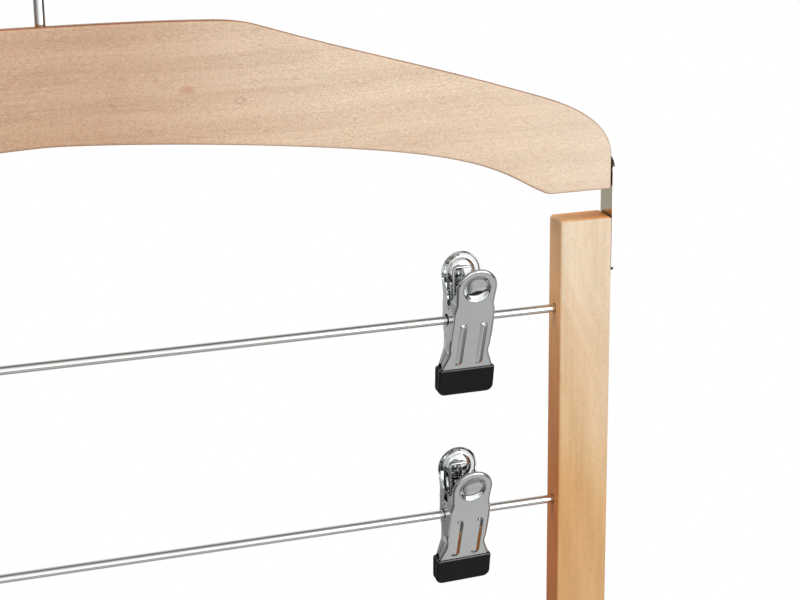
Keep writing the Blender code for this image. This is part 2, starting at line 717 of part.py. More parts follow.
def make_tier(tier, rod_mesh, meshes, finishes, parent):
    """A rod with its two clips, under an empty on the rod's axis."""
    place = (0, 0, rod_height(tier))
    turn = joint_empty("rod_%d_turn" % (tier + 1), place, parent)
    piece("rod_%d" % (tier + 1), rod_mesh, finishes["rod"], turn, place)
    for side_name, side in (("left", -1), ("right", 1)):
        make_clip(tier, side_name, side, meshes, finishes, turn)


def main():
    wood = material("maple", (0.76, 0.56, 0.37), 0.45, 0.0)
    steel = material("steel_strap", (0.56, 0.53, 0.47), 0.35, 1.0)
    chrome = material("chrome", (0.78, 0.79, 0.80), 0.12, 1.0)
    spring_steel = material("spring_steel", (0.70, 0.71, 0.72), 0.2, 1.0)
    rubber = material("black_rubber", (0.02, 0.018, 0.017), 0.35, 0.0)

    swivel = joint_empty("crown_swivel", (0, 0, CROWN_TOP))
    swing = joint_empty("frame_swing", (0, 0, PIVOT_Z), swivel)

    make_hook(chrome)
    make_swivel_washer(steel, swivel)
    make_crown(wood, swivel)
    make_screws(steel, swivel, swing)
    for side_name, side in (("left", -1), ("right", 1)):
        make_rail("rail_" + side_name, side, wood, swing)
        make_strap("strap_" + side_name, side, steel, swing)

    finishes = {"rod": chrome, "rear_jaw": chrome, "front_jaw": chrome, "rear_sleeve": rubber,
                "front_sleeve": rubber, "spring": spring_steel}
    rod_mesh = cylinder_mesh("rod", ROD_RADIUS, 2 * ROD_HALF, 12, "X")
    meshes = clip_meshes()
    for tier in range(TIERS):
        make_tier(tier, rod_mesh, meshes, finishes, swing)


for old in list(bpy.data.objects):
    bpy.data.objects.remove(old)
WORLD_PLACE = {}
PARTS = collection("tiered_trouser_hanger")
CUTTERS = collection("cutters")
main()
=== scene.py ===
"""Looks for the tiered trouser hanger: fine meshes and finishes, light and camera, built
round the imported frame. Metres, +Z up, front towards -Y."""

import json
import math

import bmesh
import bpy
from mathutils import Matrix, Vector
from mathutils.geometry import delaunay_2d_cdt


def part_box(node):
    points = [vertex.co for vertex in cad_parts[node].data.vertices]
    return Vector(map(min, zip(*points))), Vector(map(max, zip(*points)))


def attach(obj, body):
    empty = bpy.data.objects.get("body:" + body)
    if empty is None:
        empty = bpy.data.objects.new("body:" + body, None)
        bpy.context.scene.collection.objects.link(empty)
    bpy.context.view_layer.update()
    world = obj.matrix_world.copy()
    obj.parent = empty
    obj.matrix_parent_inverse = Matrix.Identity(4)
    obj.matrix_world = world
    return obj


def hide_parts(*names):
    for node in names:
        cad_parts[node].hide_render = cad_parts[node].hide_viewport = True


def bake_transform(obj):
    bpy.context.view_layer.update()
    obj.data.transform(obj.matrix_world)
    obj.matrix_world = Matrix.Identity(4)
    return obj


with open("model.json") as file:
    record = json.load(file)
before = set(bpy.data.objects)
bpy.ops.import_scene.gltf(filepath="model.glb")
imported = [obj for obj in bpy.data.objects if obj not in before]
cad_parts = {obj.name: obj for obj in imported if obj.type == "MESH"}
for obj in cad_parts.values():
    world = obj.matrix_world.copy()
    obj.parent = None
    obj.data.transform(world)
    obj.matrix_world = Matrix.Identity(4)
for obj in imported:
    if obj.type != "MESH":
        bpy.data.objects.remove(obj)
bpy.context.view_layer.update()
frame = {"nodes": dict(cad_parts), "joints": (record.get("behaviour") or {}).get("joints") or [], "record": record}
BODIES = frame["record"]["behaviour"]["bodies"]
JOINTS = {joint["name"]: joint for joint in frame["joints"]}
BODY_OF = {node: body for body, nodes in BODIES.items() for node in nodes}

# Heights and widths that the frame gives
CROWN_LOW, CROWN_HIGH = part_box("crown")
RAIL_LOW, RAIL_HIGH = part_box("rail_right")
ROD_LOW, ROD_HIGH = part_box("rod_1")
STRAP_LOW, STRAP_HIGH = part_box("strap_right")
WASHER_LOW, WASHER_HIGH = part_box("swivel_washer")
HOOK_LOW, HOOK_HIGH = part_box("hook")
TIERS = sum(name.startswith("rod_") for name in frame["nodes"])
SIDES = (("left", -1), ("right", 1))
WOOD = RAIL_HIGH.y - RAIL_LOW.y
ROD_RADIUS = (ROD_HIGH.z - ROD_LOW.z) / 2
GAP = 0.0003

# Crown outline
FLAT_HALF = 0.0613
CAMBER = 0.0010
CAMBER_ANGLE = 2.5
CORNER_RUN = 0.0177
CORNER_DROP = 0.0030
CORNER_ARM = CORNER_RUN * 0.4
SLOPE_ANGLE = 18.5
SHOULDER_REACH = 0.0402
SHOULDER_HEIGHT = 0.0424
SHOULDER_ARM = 0.0129
END_HEIGHT = 0.0134
END_ARM = 0.0178
FOOT_WIDTH = 0.0268
FOOT_CORNER = 0.0012
FOOT_EASE = 0.0018
FOOT_ARM = FOOT_EASE * 0.67
ARCH_ANGLE = 24.8
ARCH_ARM = 0.0156
HAUNCH_INSET = 0.100
HAUNCH_HEIGHT = 0.0236
HAUNCH_ANGLE = 8.1
HAUNCH_ARM = 0.0527
ARCH_HEIGHT = 0.0341
APEX_ARM = 0.0125
CROWN_EASE = 0.0011
CROWN_RAKE = 0.0010
COUNTERBORE_DEPTH = 0.0065
PIVOT_PILOT_DEPTH = 0.016

# Rails, hook and fixings
RAIL_OUTER_CORNER = 0.0012
RAIL_INNER_CORNER = 0.0014
RAIL_EASE = 0.0013
RAIL_OUTER_SHARE = 0.3
RAIL_RAKE = -0.0005
SOCKET_DEPTH = 0.008
RAIL_PILOT_DEPTH = 0.012
ROD_EDGE = 0.0003
ROD_STEPS = 12
HOOK_WIRE = 0.0038
HOOK_SEAT_RADIUS = 0.020
HOOK_TIP_ANGLE = 203.0
HOOK_TURN_ANGLE = -38.0
HOOK_NECK = 0.016
HOOK_HEAD_RADIUS = 0.0034
HOOK_HEAD_HEIGHT = 0.0018
SCREW_RADIUS = 0.0015
SCREW_HEAD_RADIUS = 0.0031
SCREW_HEAD_HEIGHT = 0.0010
CROSS_REACH = 0.0015
CROSS_HALF = 0.00035
CROSS_TAPER = 0.45
STRAP_SCREW_PITCH = 0.0105
STRAP_CORNER = 0.0018
STAMPED_EDGE = 0.00012
SHARP_ANGLE = 50

# Clips: widths across the clip, depths out from its mid plane, heights up from the rod
CLIP_LEAN = (7.5, 10.5, 9.0, 8.0)
CLIP_TILT = (0.0, 1.8, 0.6, 1.0)
SHEET = 0.0006
NEST_GAP = 0.0002
PAD_RADIUS = 0.00836
PAD_HEIGHT = 0.0163
NECK = (0.0078, 0.0092)
SHOULDER_HALF = 0.00865
SHOULDER_TOP = 0.0058
SHOULDER_BOTTOM = -0.0095
WAIST = (0.00815, -0.0135)
JAW_HALF = 0.0108
JAW_TOP = -0.0205
JAW_TIP = -0.0312
JAW_DEPTH = 0.0018
BEND_REACH = 0.0009
ROLL = 0.0010
FLAT_BAND = 0.00015
FLANGE_DEPTH = 0.0013
FLANGE_END = -0.0194
WALL_GAP = 0.0002
WALL_TOP_EDGE = 0.0024
OPEN_SLOPE = math.tan(math.radians(15.0))
OPEN_GAP = 0.0003
WALL_LEAST = 0.00005
FLANGE_START = PAD_HEIGHT - 0.001
CORNER_STEPS = 6
ROLL_STEPS = 6
OUTLINE_STEP = 0.0007
FACE_STEP = 0.0011
FACE_EDGE_GAP = FACE_STEP * 0.6
FACE_PRESS_GAP = FACE_STEP * 0.5
# Depth of a jaw's outer face by the height, from below its tip to above its pad
FACE_LINE = (
    (-0.1, JAW_DEPTH), (-0.0240, JAW_DEPTH), (-0.0220, 0.00236), (0.0, 0.0071), (PAD_HEIGHT * 2, 0.0122))
# Slope of the thumb dish in degrees, by the distance from its middle
DISH_SLOPES = (
    (0.0, 0.0), (0.0018, 6.5), (0.0034, 10.3), (0.0039, 16.0), (0.0044, 29.0), (0.0049, 42.0),
    (0.0054, 37.0), (0.0057, 19.0), (0.0060, 7.0), (0.0062, 0.0))
DISH_SIDES = 56
DISH_STEP = 0.00016
DISH_STEPS = 25
DISH_SHARES = (0.85, 0.67, 0.48, 0.30, 0.12)
RIB_OFFSET = 0.0043
RIB_HALF = 0.0020
RIB_TOP = 0.0010
RIB_BOTTOM = -0.0195
RIB_HEIGHT = 0.0008
RIB_FLANK = 0.00220
RIB_REACH = 0.00025
RIB_END_STEPS = 16
RIB_ROWS = 9
RIB_SHARES = (0.0, 0.07, 0.14, 0.21, 0.34, 0.47, 0.60, 0.67, 0.74, 0.81, 0.92)
EAR_TOP = 0.0053
EAR_BOTTOM = -0.0068
EAR_RADIUS = 0.0050
EAR_ARC = (95, 215)
EAR_CLEARANCE = 0.0009
EAR_INSET = 0.00004

# Rubber sleeves and springs
SLEEVE_TOP = -0.0207
SLEEVE_BOTTOM = -0.0325
SLEEVE_HALF = 0.0118
SLEEVE_INNER = 0.00015
SLEEVE_COAT = 0.0006
SLEEVE_CORNER = 0.0030
SLEEVE_EASE = 0.0010
SLEEVE_POCKET_GAP = 0.0001
POCKET_STEPS = 12
SPRING_WIRE = 0.0012
SPRING_RADIUS = 0.0034
SPRING_TURNS = 4.5
SPRING_PITCH = 0.0019
SPRING_LEG_HEIGHT = 0.0192
SPRING_LEG_DEPTH = 0.0063
SPRING_BAR = 0.0075
SPRING_BEND = 0.0014
SPRING_BEND_STEPS = 8
SPRING_COIL_STEPS = 28
SPRING_LEG_SHARES = (0.3, 0.5, 0.7, 0.9)

# Wood: darkest and lightest tone, and the places, sizes and light cores of the pin knots
CROWN_TONES = ((0.465, 0.317, 0.210), (0.760, 0.608, 0.457))
RAIL_TONES = ((0.563, 0.418, 0.280), (0.793, 0.656, 0.496))
KNOTS = (((0.0503, -0.006, -0.0935), 0.0021, 0.15), ((0.0698, -0.006, -0.0989), 0.0018, 0.80))
KNOT_STRETCH = (0.58, 0.6, 1.0)
KNOT_TONE = (0.46, 0.21, 0.13)
KNOT_CORE_TONE = (0.80, 0.60, 0.47)

# Camera, fitted to the photograph
PICTURE_WIDTH = 800
FOCAL_PIXELS = 1928.73
CAMERA_PLACE = (-0.1006, -0.683507, 0.029124)
CAMERA_YAW = 0.32877
CAMERA_PITCH = 0.28577
CAMERA_ROLL = 0.01305
SENSOR = 36.0

# Studio
FLOOR_DROP = 0.024
FLOOR_FRONT = -0.78
FLOOR_REACH = 3.0
FLOOR_TONE = (0.80, 0.80, 0.79, 1.0)
FADE_START = 0.28
FADE_END = 0.45
WHITE = (1, 1, 1, 1)
# Radiance round the object by angle in the YZ plane, 0 at the front and 90 straight up
WORLD_BAND = (
    (-180, 0.62), (-165, 0.58), (-140, 0.48), (-105, 0.36), (-85, 0.29), (-78, 0.32), (-70, 0.60),
    (-58, 0.55), (-48, 0.56), (-40, 0.70), (-37, 0.03), (-29, 0.03), (-26, 1.15), (15, 1.35),
    (42, 0.95), (62, 0.58), (76, 0.18), (112, 0.22), (140, 0.70), (180, 0.80))
# How it falls off to the sides, by the direction's x: above the horizon, below it and underneath
WORLD_UPPER = (
    (-1.0, 0.55), (-0.92, 0.25), (-0.78, 0.45), (-0.52, 0.50), (-0.38, 1.0), (0.60, 1.0),
    (0.80, 0.30), (1.0, 0.15))
WORLD_MIDDLE = (
    (-1.0, 0.3), (-0.66, 0.22), (-0.50, 0.42), (-0.26, 0.42), (-0.14, 1.0), (0.45, 1.0),
    (0.60, 0.30), (0.70, 0.30), (0.76, 1.3), (0.87, 1.3), (0.92, 0.4), (1.0, 0.2))
WORLD_LOWER = (
    (-1.0, 0.3), (-0.66, 0.22), (-0.55, 0.75), (-0.25, 1.0), (0.45, 1.0), (0.60, 0.30),
    (0.73, 0.30), (0.78, 1.9), (0.87, 1.9), (0.92, 0.4), (1.0, 0.2))
# Name, place, target, size and watts of each lamp, and whether metal mirrors it
LAMPS = (
    ("key", (0.85, -1.05, 0.05), (0.10, 0, -0.22), 0.9, 6.5, True),
    ("fill", (-0.85, 0.10, 1.10), (0, 0, -0.20), 1.0, 31.0, False))

PLANE_YZ = Matrix(((0, 0, 1, 0), (1, 0, 0, 0), (0, 1, 0, 0), (0, 0, 0, 1)))
TURN_ABOUT = Matrix.Rotation(math.pi, 4, "Z")
TEMPORARY = bpy.data.collections.new("temporary")
bpy.context.scene.collection.children.link(TEMPORARY)


# Shapes

def arc(centre, radius, start, end, steps):
    """Points on a circle from start to end, in degrees, both ends included."""
    points = []
    for step in range(steps + 1):
        angle = math.radians(start + (end - start) * step / steps)
        points.append((centre[0] + radius * math.cos(angle), centre[1] + radius * math.sin(angle)))
    return points


def circle(radius, count, centre=(0, 0)):
    """Points all round a circle."""
    return arc(centre, radius, 0, 360 - 360 / count, count - 1)


def sweep(start, start_angle, start_arm, end, end_angle, end_arm, steps):
    """Points of a cubic curve between two places with a heading, in degrees, and an arm at
    each; without the end itself."""
    first, last = math.radians(start_angle), math.radians(end_angle)
    handle = (start[0] + start_arm * math.cos(first), start[1] + start_arm * math.sin(first))
    other = (end[0] - end_arm * math.cos(last), end[1] - end_arm * math.sin(last))
    points = []
    for step in range(steps):
        t = step / steps
        weights = ((1 - t) ** 3, 3 * (1 - t) ** 2 * t, 3 * (1 - t) * t * t, t ** 3)
        corners = (start, handle, other, end)
        points.append(tuple(sum(w * p[axis] for w, p in zip(weights, corners)) for axis in (0, 1)))
    return points


def rounded(corners):
    """Open line through (point, radius) corners with an arc in each corner."""
    points = [corners[0][0]]
    for (before, _), (corner, radius), (after, _) in zip(corners, corners[1:], corners[2:]):
        corner, before, after = Vector(corner), Vector(before), Vector(after)
        back, ahead = (before - corner).normalized(), (after - corner).normalized()
        half = back.angle(ahead) / 2
        reach = radius / math.tan(half)
        centre = corner + (back + ahead).normalized() * radius / math.sin(half)
        first, last = corner + back * reach - centre, corner + ahead * reach - centre
        turn = first.angle_signed(last)
        for step in range(CORNER_STEPS + 1):
            spoke = Matrix.Rotation(-turn * step / CORNER_STEPS, 2) @ first
            points.append(tuple(centre + spoke))
    points.append(corners[-1][0])
    return points


def spaced(points, longest):
    """Closed loop with its long stretches divided."""
    dense = []
    for first, second in zip(points, points[1:] + points[:1]):
        count = max(1, math.ceil(math.dist(first, second) / longest))
        for step in range(count):
            share = step / count
            dense.append((first[0] + (second[0] - first[0]) * share,
                          first[1] + (second[1] - first[1]) * share))
    return dense


def mirrored(half):
    """Closed outline from its right half, whose ends lie on the middle line."""
    return half + [(-x, y) for x, y in reversed(half[1:-1])]


def inside(point, loop):
    """Whether a point lies inside a closed loop."""
    x, y = point
    within = False
    for (x0, y0), (x1, y1) in zip(loop, loop[1:] + loop[:1]):
        if (y0 > y) != (y1 > y) and x < x0 + (x1 - x0) * (y - y0) / (y1 - y0):
            within = not within
    return within


def read_off(table, value):
    """Value on the line through a table's (place, value) points."""
    for (near, low), (far, high) in zip(table, table[1:]):
        if value <= far:
            return low + (high - low) * (value - near) / (far - near)
    return table[-1][1]


def softened(rule, value, reach):
    """Mean of a rule over a short stretch, which rounds its corners."""
    count = 4
    samples = [rule(value + reach * step / count) for step in range(-count, count + 1)]
    return sum(samples) / len(samples)


def placed(name, data, collection=None):
    """New object in a collection, or else in the scene's own."""
    obj = bpy.data.objects.new(name, data)
    (collection or bpy.context.scene.collection).objects.link(obj)
    return obj


def temporary(name, data):
    """Object that only serves to make a mesh."""
    return placed(name, data, TEMPORARY)


def moved(mesh, offset):
    """Mesh shifted by an offset."""
    mesh.transform(Matrix.Translation(offset))
    return mesh


def reworked(mesh, work):
    """Mesh after bmesh work on it."""
    shape = bmesh.new()
    shape.from_mesh(mesh)
    work(shape)
    shape.to_mesh(mesh)
    shape.free()
    return mesh


def finished(shape, name):
    """Mesh of a bmesh shape, which goes."""
    mesh = bpy.data.meshes.new(name)
    shape.to_mesh(mesh)
    shape.free()
    return mesh


def evaluated(obj):
    """Mesh of a temporary object with its modifiers, welded; the object goes."""
    graph = bpy.context.evaluated_depsgraph_get()
    mesh = bpy.data.meshes.new_from_object(obj.evaluated_get(graph))
    bpy.data.objects.remove(obj)
    return reworked(mesh, lambda shape: bmesh.ops.remove_doubles(shape, verts=shape.verts, dist=1e-6))


def plate(name, loops, thickness, plane):
    """Flat plate from closed loops of points, the first round the rest."""
    curve = bpy.data.curves.new(name, "CURVE")
    curve.dimensions = "2D"
    curve.fill_mode = "BOTH"
    curve.extrude = thickness / 2
    for loop in loops:
        spline = curve.splines.new("POLY")
        spline.points.add(len(loop) - 1)
        for point, (x, y) in zip(spline.points, loop):
            point.co = (x, y, 0.0, 1.0)
        spline.use_cyclic_u = True
    mesh = evaluated(temporary(name, curve))
    mesh.transform(plane)
    return reworked(mesh, lambda shape: bmesh.ops.dissolve_limit(
        shape, angle_limit=math.radians(0.02), verts=shape.verts, edges=shape.edges, delimit={"NORMAL"}))


def slab(name, outline, front, back, ease, steps, rake=0.0, share=lambda normal: 1.0):
    """Plate between two depths, given by height, from a clockwise outline in the XZ plane;
    its edges are rounded all round, some less than others, and its top can fall backward."""
    shape = bmesh.new()
    normals = outward(outline)
    turns = [math.pi / 2 * step / steps for step in range(steps + 1)]
    profile = [(ease * (1 - math.sin(turn)), ease * (1 - math.cos(turn))) for turn in turns]
    rings = []
    for surface, inward, steps_down, fall in ((front, 1, profile, 0.0), (back, -1, profile[::-1], rake)):
        for inset, drop in steps_down:
            ring = []
            for (x, z), normal in zip(outline, normals):
                part = share(normal)
                across = x - normal.x * inset * part
                height = z - normal.y * inset * part - fall * max(0.0, normal.y)
                ring.append(shape.verts.new((across, surface(height) + inward * drop * part, height)))
            rings.append(ring)
    for first, second in zip(rings, rings[1:]):
        join_rings(shape, first, second)
    shape.faces.new(rings[0])
    shape.faces.new(rings[-1])
    bmesh.ops.remove_doubles(shape, verts=shape.verts, dist=0.00002)
    bmesh.ops.recalc_face_normals(shape, faces=shape.faces)
    return finished(shape, name)


def board(name, outline, ease, steps, rake, share=lambda normal: 1.0):
    """Slab of the wood's thickness."""
    return slab(name, outline, lambda height: -WOOD / 2, lambda height: WOOD / 2, ease, steps,
                rake, share)


def modified(mesh, kind, **settings):
    """Mesh with a modifier applied."""
    obj = temporary(mesh.name, mesh)
    modifier = obj.modifiers.new(kind, kind)
    for key, value in settings.items():
        setattr(modifier, key, value)
    return evaluated(obj)


def eased(mesh):
    """Mesh of a stamped part with its sharp edges slightly broken."""
    return modified(mesh, "BEVEL", width=STAMPED_EDGE, segments=2, limit_method="ANGLE",
                    angle_limit=math.radians(SHARP_ANGLE))


def combined(mesh, operation, tools):
    """Mesh with other meshes cut out of it or joined on."""
    for tool in tools:
        helper = temporary(mesh.name + "_tool", tool)
        mesh = modified(mesh, "BOOLEAN", operation=operation, solver="EXACT", object=helper)
        bpy.data.objects.remove(helper)
    return mesh


def turned(name, profile, steps, along="Z"):
    """Solid of revolution from (radius, height) points, top to bottom."""
    mesh = bpy.data.meshes.new(name)
    edges = [(i, i + 1) for i in range(len(profile) - 1)]
    mesh.from_pydata([(radius, 0, height) for radius, height in profile], edges, [])
    made = modified(mesh, "SCREW", steps=steps, render_steps=steps, use_merge_vertices=True,
                    merge_threshold=1e-6)
    if along == "X":
        made.transform(Matrix.Rotation(math.pi / 2, 4, "Y"))
    return made


def bore(radius, length, along, place):
    """Cylinder that cuts a hole."""
    half = length / 2
    profile = [(0, half), (radius, half), (radius, -half), (0, -half)]
    return moved(turned("bore", profile, 40, along), place)


def tube(name, points, radius, sides, tips=(4, 4)):
    """Round wire along a path, with a rounded end of so many rings at each tip."""
    path = [Vector(point) for point in points]
    last = len(path) - 1
    turns = [2 * math.pi * i / sides for i in range(sides)]
    shape = bmesh.new()
    heading = (path[1] - path[0]).normalized()
    side = heading.orthogonal().normalized()
    rings = []
    for i, place in enumerate(path):
        ahead = (path[min(i + 1, last)] - path[max(i - 1, 0)]).normalized()
        side = (heading.rotation_difference(ahead) @ side).normalized()
        heading = ahead
        spokes = [side * math.cos(turn) + heading.cross(side) * math.sin(turn) for turn in turns]
        way, tilts = 0, [0.0]
        if i in (0, last):
            way, count = (1, tips[1]) if i else (-1, tips[0])
            tilts = [math.pi / 2 * step / (count + 1) for step in range(count + 1)][::way]
        for tilt in tilts:
            centre = place + heading * way * radius * (math.sin(tilt) - 1)
            size = radius * math.cos(tilt)
            rings.append([shape.verts.new(centre + spoke * size) for spoke in spokes])
    for first, second in zip(rings, rings[1:]):
        join_rings(shape, first, second)
    shape.faces.new(rings[0][::-1])
    shape.faces.new(rings[-1])
    bmesh.ops.recalc_face_normals(shape, faces=shape.faces)
    return finished(shape, name)


def smooth(mesh, angle=35):
    """Smooth shading, with edges sharper than the angle kept."""
    mesh.shade_smooth()
    mesh.set_sharp_from_angle(angle=math.radians(angle))


# Finishes

def connect(tree, node, **values):
    """Fill a node's inputs, given by name or as i with a number; a socket is linked."""
    for key, value in values.items():
        socket = node.inputs[int(key[1:]) if key[1:].isdigit() else key.replace("_", " ")]
        if isinstance(value, bpy.types.NodeSocket):
            tree.links.new(value, socket)
        else:
            socket.default_value = value


def shader_node(tree, kind, **values):
    """New node with its settings, whose keys start with set_, and its inputs."""
    made = tree.nodes.new("ShaderNode" + kind)
    for key in [key for key in values if key.startswith("set_")]:
        setattr(made, key[4:], values.pop(key))
    connect(tree, made, **values)
    return made


def ramp(tree, factor, stops):
    """Colour ramp from (position, colour or grey) stops."""
    made = shader_node(tree, "ValToRGB", Fac=factor)
    elements = made.color_ramp.elements
    while len(elements) < len(stops):
        elements.new(0.5)
    for element, (position, colour) in zip(elements, stops):
        element.position = position
        element.color = (*colour, 1.0) if isinstance(colour, tuple) else (colour, colour, colour, 1.0)
    return made.outputs["Color"]


def math_node(tree, operation, first, second=0.0):
    """Result of a Math node."""
    return shader_node(tree, "Math", set_operation=operation, i0=first, i1=second).outputs[0]


def vector_math(tree, operation, first, second=(0, 0, 0)):
    """Result of a Vector Math node."""
    made = shader_node(tree, "VectorMath", set_operation=operation, i0=first, i1=second)
    return made.outputs["Value" if operation == "LENGTH" else "Vector"]


def empty_material(name):
    """Material with a Principled shader; returns it, its tree and the shader."""
    made = bpy.data.materials.new(name)
    made.use_nodes = True
    return made, made.node_tree, made.node_tree.nodes["Principled BSDF"]


def mapped(tree, place, scale=(1, 1, 1), turn=(0, 0, 0), shift=(0, 0, 0)):
    """Place scaled, turned by degrees and shifted."""
    turn = [math.radians(angle) for angle in turn]
    made = shader_node(tree, "Mapping", Vector=place, Scale=scale, Rotation=turn, Location=shift)
    return made.outputs[0]


def object_place(tree, scale=(1, 1, 1), turn=(0, 0, 0)):
    """Place on the object at rest, turned and scaled."""
    return mapped(tree, shader_node(tree, "TexCoord").outputs["Object"], scale, turn)


def noise(tree, place, scale, detail=2.0, rough=0.5):
    """Noise between 0 and 1 at a place."""
    made = shader_node(tree, "TexNoise", Vector=place, Scale=scale, Detail=detail, Roughness=rough)
    return made.outputs["Fac"]


def mixed(tree, factor, first, second, blend="MIX"):
    """Two colours mixed by a factor."""
    first, second = [(*value, 1.0) if isinstance(value, tuple) else value for value in (first, second)]
    return shader_node(tree, "Mix", set_data_type="RGBA", set_blend_type=blend, i0=factor,
                       i6=first, i7=second).outputs[2]


def multiplied(tree, factor, base, colour):
    """Colour multiplied by another as far as a factor says."""
    return mixed(tree, factor, base, mixed(tree, 1.0, base, colour, "MULTIPLY"))


def scaled_range(tree, value, low, high, new_low=0.0, new_high=1.0, kind="LINEAR"):
    """Value carried from one range to another, held at its ends."""
    return shader_node(tree, "MapRange", set_interpolation_type=kind, Value=value, From_Min=low,
                       From_Max=high, To_Min=new_low, To_Max=new_high).outputs["Result"]


def levels(tree, value, stops):
    """Grey levels along a value, from (value, level) stops."""
    low, high = stops[0][0], stops[-1][0]
    share = scaled_range(tree, value, low, high)
    return ramp(tree, share, [((at - low) / (high - low), level) for at, level in stops])


def summed(tree, layers):
    """Weighted sum of (value, weight) layers."""
    total = 0.0
    for value, weight in layers:
        step = shader_node(tree, "Math", set_operation="MULTIPLY_ADD", i0=value, i1=weight, i2=total)
        total = step.outputs[0]
    return total


def stretched_noise(tree, place, scale, detail, rough=0.6):
    """Noise with a scale for each axis, in features a metre."""
    return noise(tree, mapped(tree, place, scale), 1.0, detail, rough)


def bump(tree, strength, distance, height):
    """Normal that a height field gives."""
    return shader_node(tree, "Bump", Strength=strength, Distance=distance, Height=height).outputs[0]


def axis_of(tree, vector, axis):
    """One coordinate of a vector."""
    return shader_node(tree, "SeparateXYZ", Vector=vector).outputs[axis]


def off_middle(tree, vector, axis):
    """Size of one coordinate of a vector."""
    return math_node(tree, "ABSOLUTE", axis_of(tree, vector, axis))


def facing(tree, axis, low=0.5, high=0.95):
    """How far the surface faces along an axis of its object, from 0 to 1."""
    normal = shader_node(tree, "TexCoord").outputs["Normal"]
    return scaled_range(tree, off_middle(tree, normal, axis), low, high)


def growth_rings(tree, place, shift, tilt, scale):
    """Soft growth rings, cut by the surface as flat-sawn boards show them."""
    return shader_node(tree, "TexWave", set_wave_type="RINGS", set_rings_direction="X",
                       Vector=mapped(tree, place, turn=tilt, shift=shift), Scale=scale, Distortion=2.2,
                       Detail=3.0, Detail_Scale=18.0, Detail_Roughness=0.6).outputs["Fac"]


def wood_material(name, grain_turn, tones, rings, speckle, fleck_tone, tint):
    """Clear-lacquered maple: growth rings, fibres, a fine speckle of pores and soft clouds,
    with the grain along the turned X axis."""
    made, tree, shader = empty_material(name)
    along = object_place(tree, turn=grain_turn)
    warp = shader_node(tree, "TexNoise", Vector=along, Scale=9.0, Detail=2.0).outputs["Color"]
    bent = shader_node(tree, "VectorMath", set_operation="MULTIPLY_ADD", i0=warp,
                       i1=(0.008, 0.008, 0.008), i2=along).outputs[0]
    fibres = stretched_noise(tree, bent, (16, 760, 760), 4.0)
    pores = stretched_noise(tree, bent, (1000, 3200, 3200), 3.0, 0.75)
    clouds = stretched_noise(tree, bent, (26, 60, 60), 3.0)
    ring_weight, *ring_shape = rings
    weights = (ring_weight, 0.30, speckle, 0.14)
    sources = (growth_rings(tree, bent, *ring_shape), fibres, pores, clouds)
    middle = sum(weights) / 2
    figure = summed(tree, zip(sources, weights))
    base = tint(tree, ramp(tree, figure, [(middle - 0.25, tones[0]), (middle + 0.25, tones[1])]))
    flecks = ramp(tree, stretched_noise(tree, bent, (300, 1900, 1900), 1.0), [(0.62, 0.0), (0.72, 1.0)])
    colour = multiplied(tree, flecks, base, fleck_tone)
    blush = scaled_range(tree, stretched_noise(tree, bent, (700, 1700, 1700), 2.0), 0.35, 0.65)
    cast = mixed(tree, blush, (1.03, 0.975, 0.95), (0.95, 1.0, 1.01))
    connect(tree, shader, Base_Color=mixed(tree, 1.0, colour, cast, "MULTIPLY"),
            Roughness=scaled_range(tree, fibres, 0.3, 0.7, 0.34, 0.44),
            Specular_IOR_Level=scaled_range(tree, facing(tree, "Z"), 0.0, 1.0, 0.5, 0.12),
            Normal=bump(tree, 0.08, 0.0002, math_node(tree, "SUBTRACT", fibres, flecks)))
    return made


def crown_tone_and_painted_light(tree, base):
    """Painted sheen and shade on the crown: darker and pinker towards the middle, paler and greyer towards
    the ends; darker and pinker just above the arch; pin knots; and much darker, browner narrow sides.
    """
    place = object_place(tree)
    for knot, size, light in KNOTS:
        offset = vector_math(tree, "MULTIPLY", vector_math(tree, "SUBTRACT", place, knot), KNOT_STRETCH)
        far = vector_math(tree, "LENGTH", offset)
        base = mixed(tree, scaled_range(tree, far, size * 0.2, size, 0.60, 0.0), base, KNOT_TONE)
        core = scaled_range(tree, far, size * 0.15, size * 0.42, light, 0.0)
        base = mixed(tree, core, base, KNOT_CORE_TONE)
    # Painted sheen: darker and pinker towards the middle, paler and greyer towards the ends, as a lamp's sheen on
    # the lacquer would show.
    across = summed(tree, [(noise(tree, place, 14.0), 0.05), (off_middle(tree, place, "X"), 1.0)])
    inner = scaled_range(tree, across, 0.045, 0.120, 1.0, 0.0)
    base = multiplied(tree, inner, base, (0.79, 0.66, 0.58))
    outer = scaled_range(tree, across, 0.165, 0.235)
    base = mixed(tree, outer, base, mixed(tree, 0.20, base, (0.82, 0.80, 0.72)))
    arch = CROWN_LOW.z + ARCH_HEIGHT
    low = scaled_range(tree, axis_of(tree, place, "Z"), arch, arch + 0.016, 0.35, 0.0)
    base = multiplied(tree, low, base, (0.95, 0.86, 0.78))
    # Painted shade: the narrow sides and rounded edges, which face away from the front, are made much darker and
    # browner.
    return multiplied(tree, facing(tree, "Y", 0.90, 0.50), base, (0.46, 0.27, 0.17))


def flame(tree, place):
    """Flat-sawn figure of a rail: streaks that run down and outward at first, then straight."""
    height, top = axis_of(tree, place, "Z"), RAIL_HIGH.z
    drift = scaled_range(tree, height, top - 0.005, top - 0.085, 0.0, 0.027, "SMOOTHSTEP")
    across = math_node(tree, "SUBTRACT", off_middle(tree, place, "X"), drift)
    drawn = shader_node(tree, "CombineXYZ", X=across, Z=height).outputs[0]
    return scaled_range(tree, stretched_noise(tree, drawn, (230, 1, 14), 3.0), 0.36, 0.64)


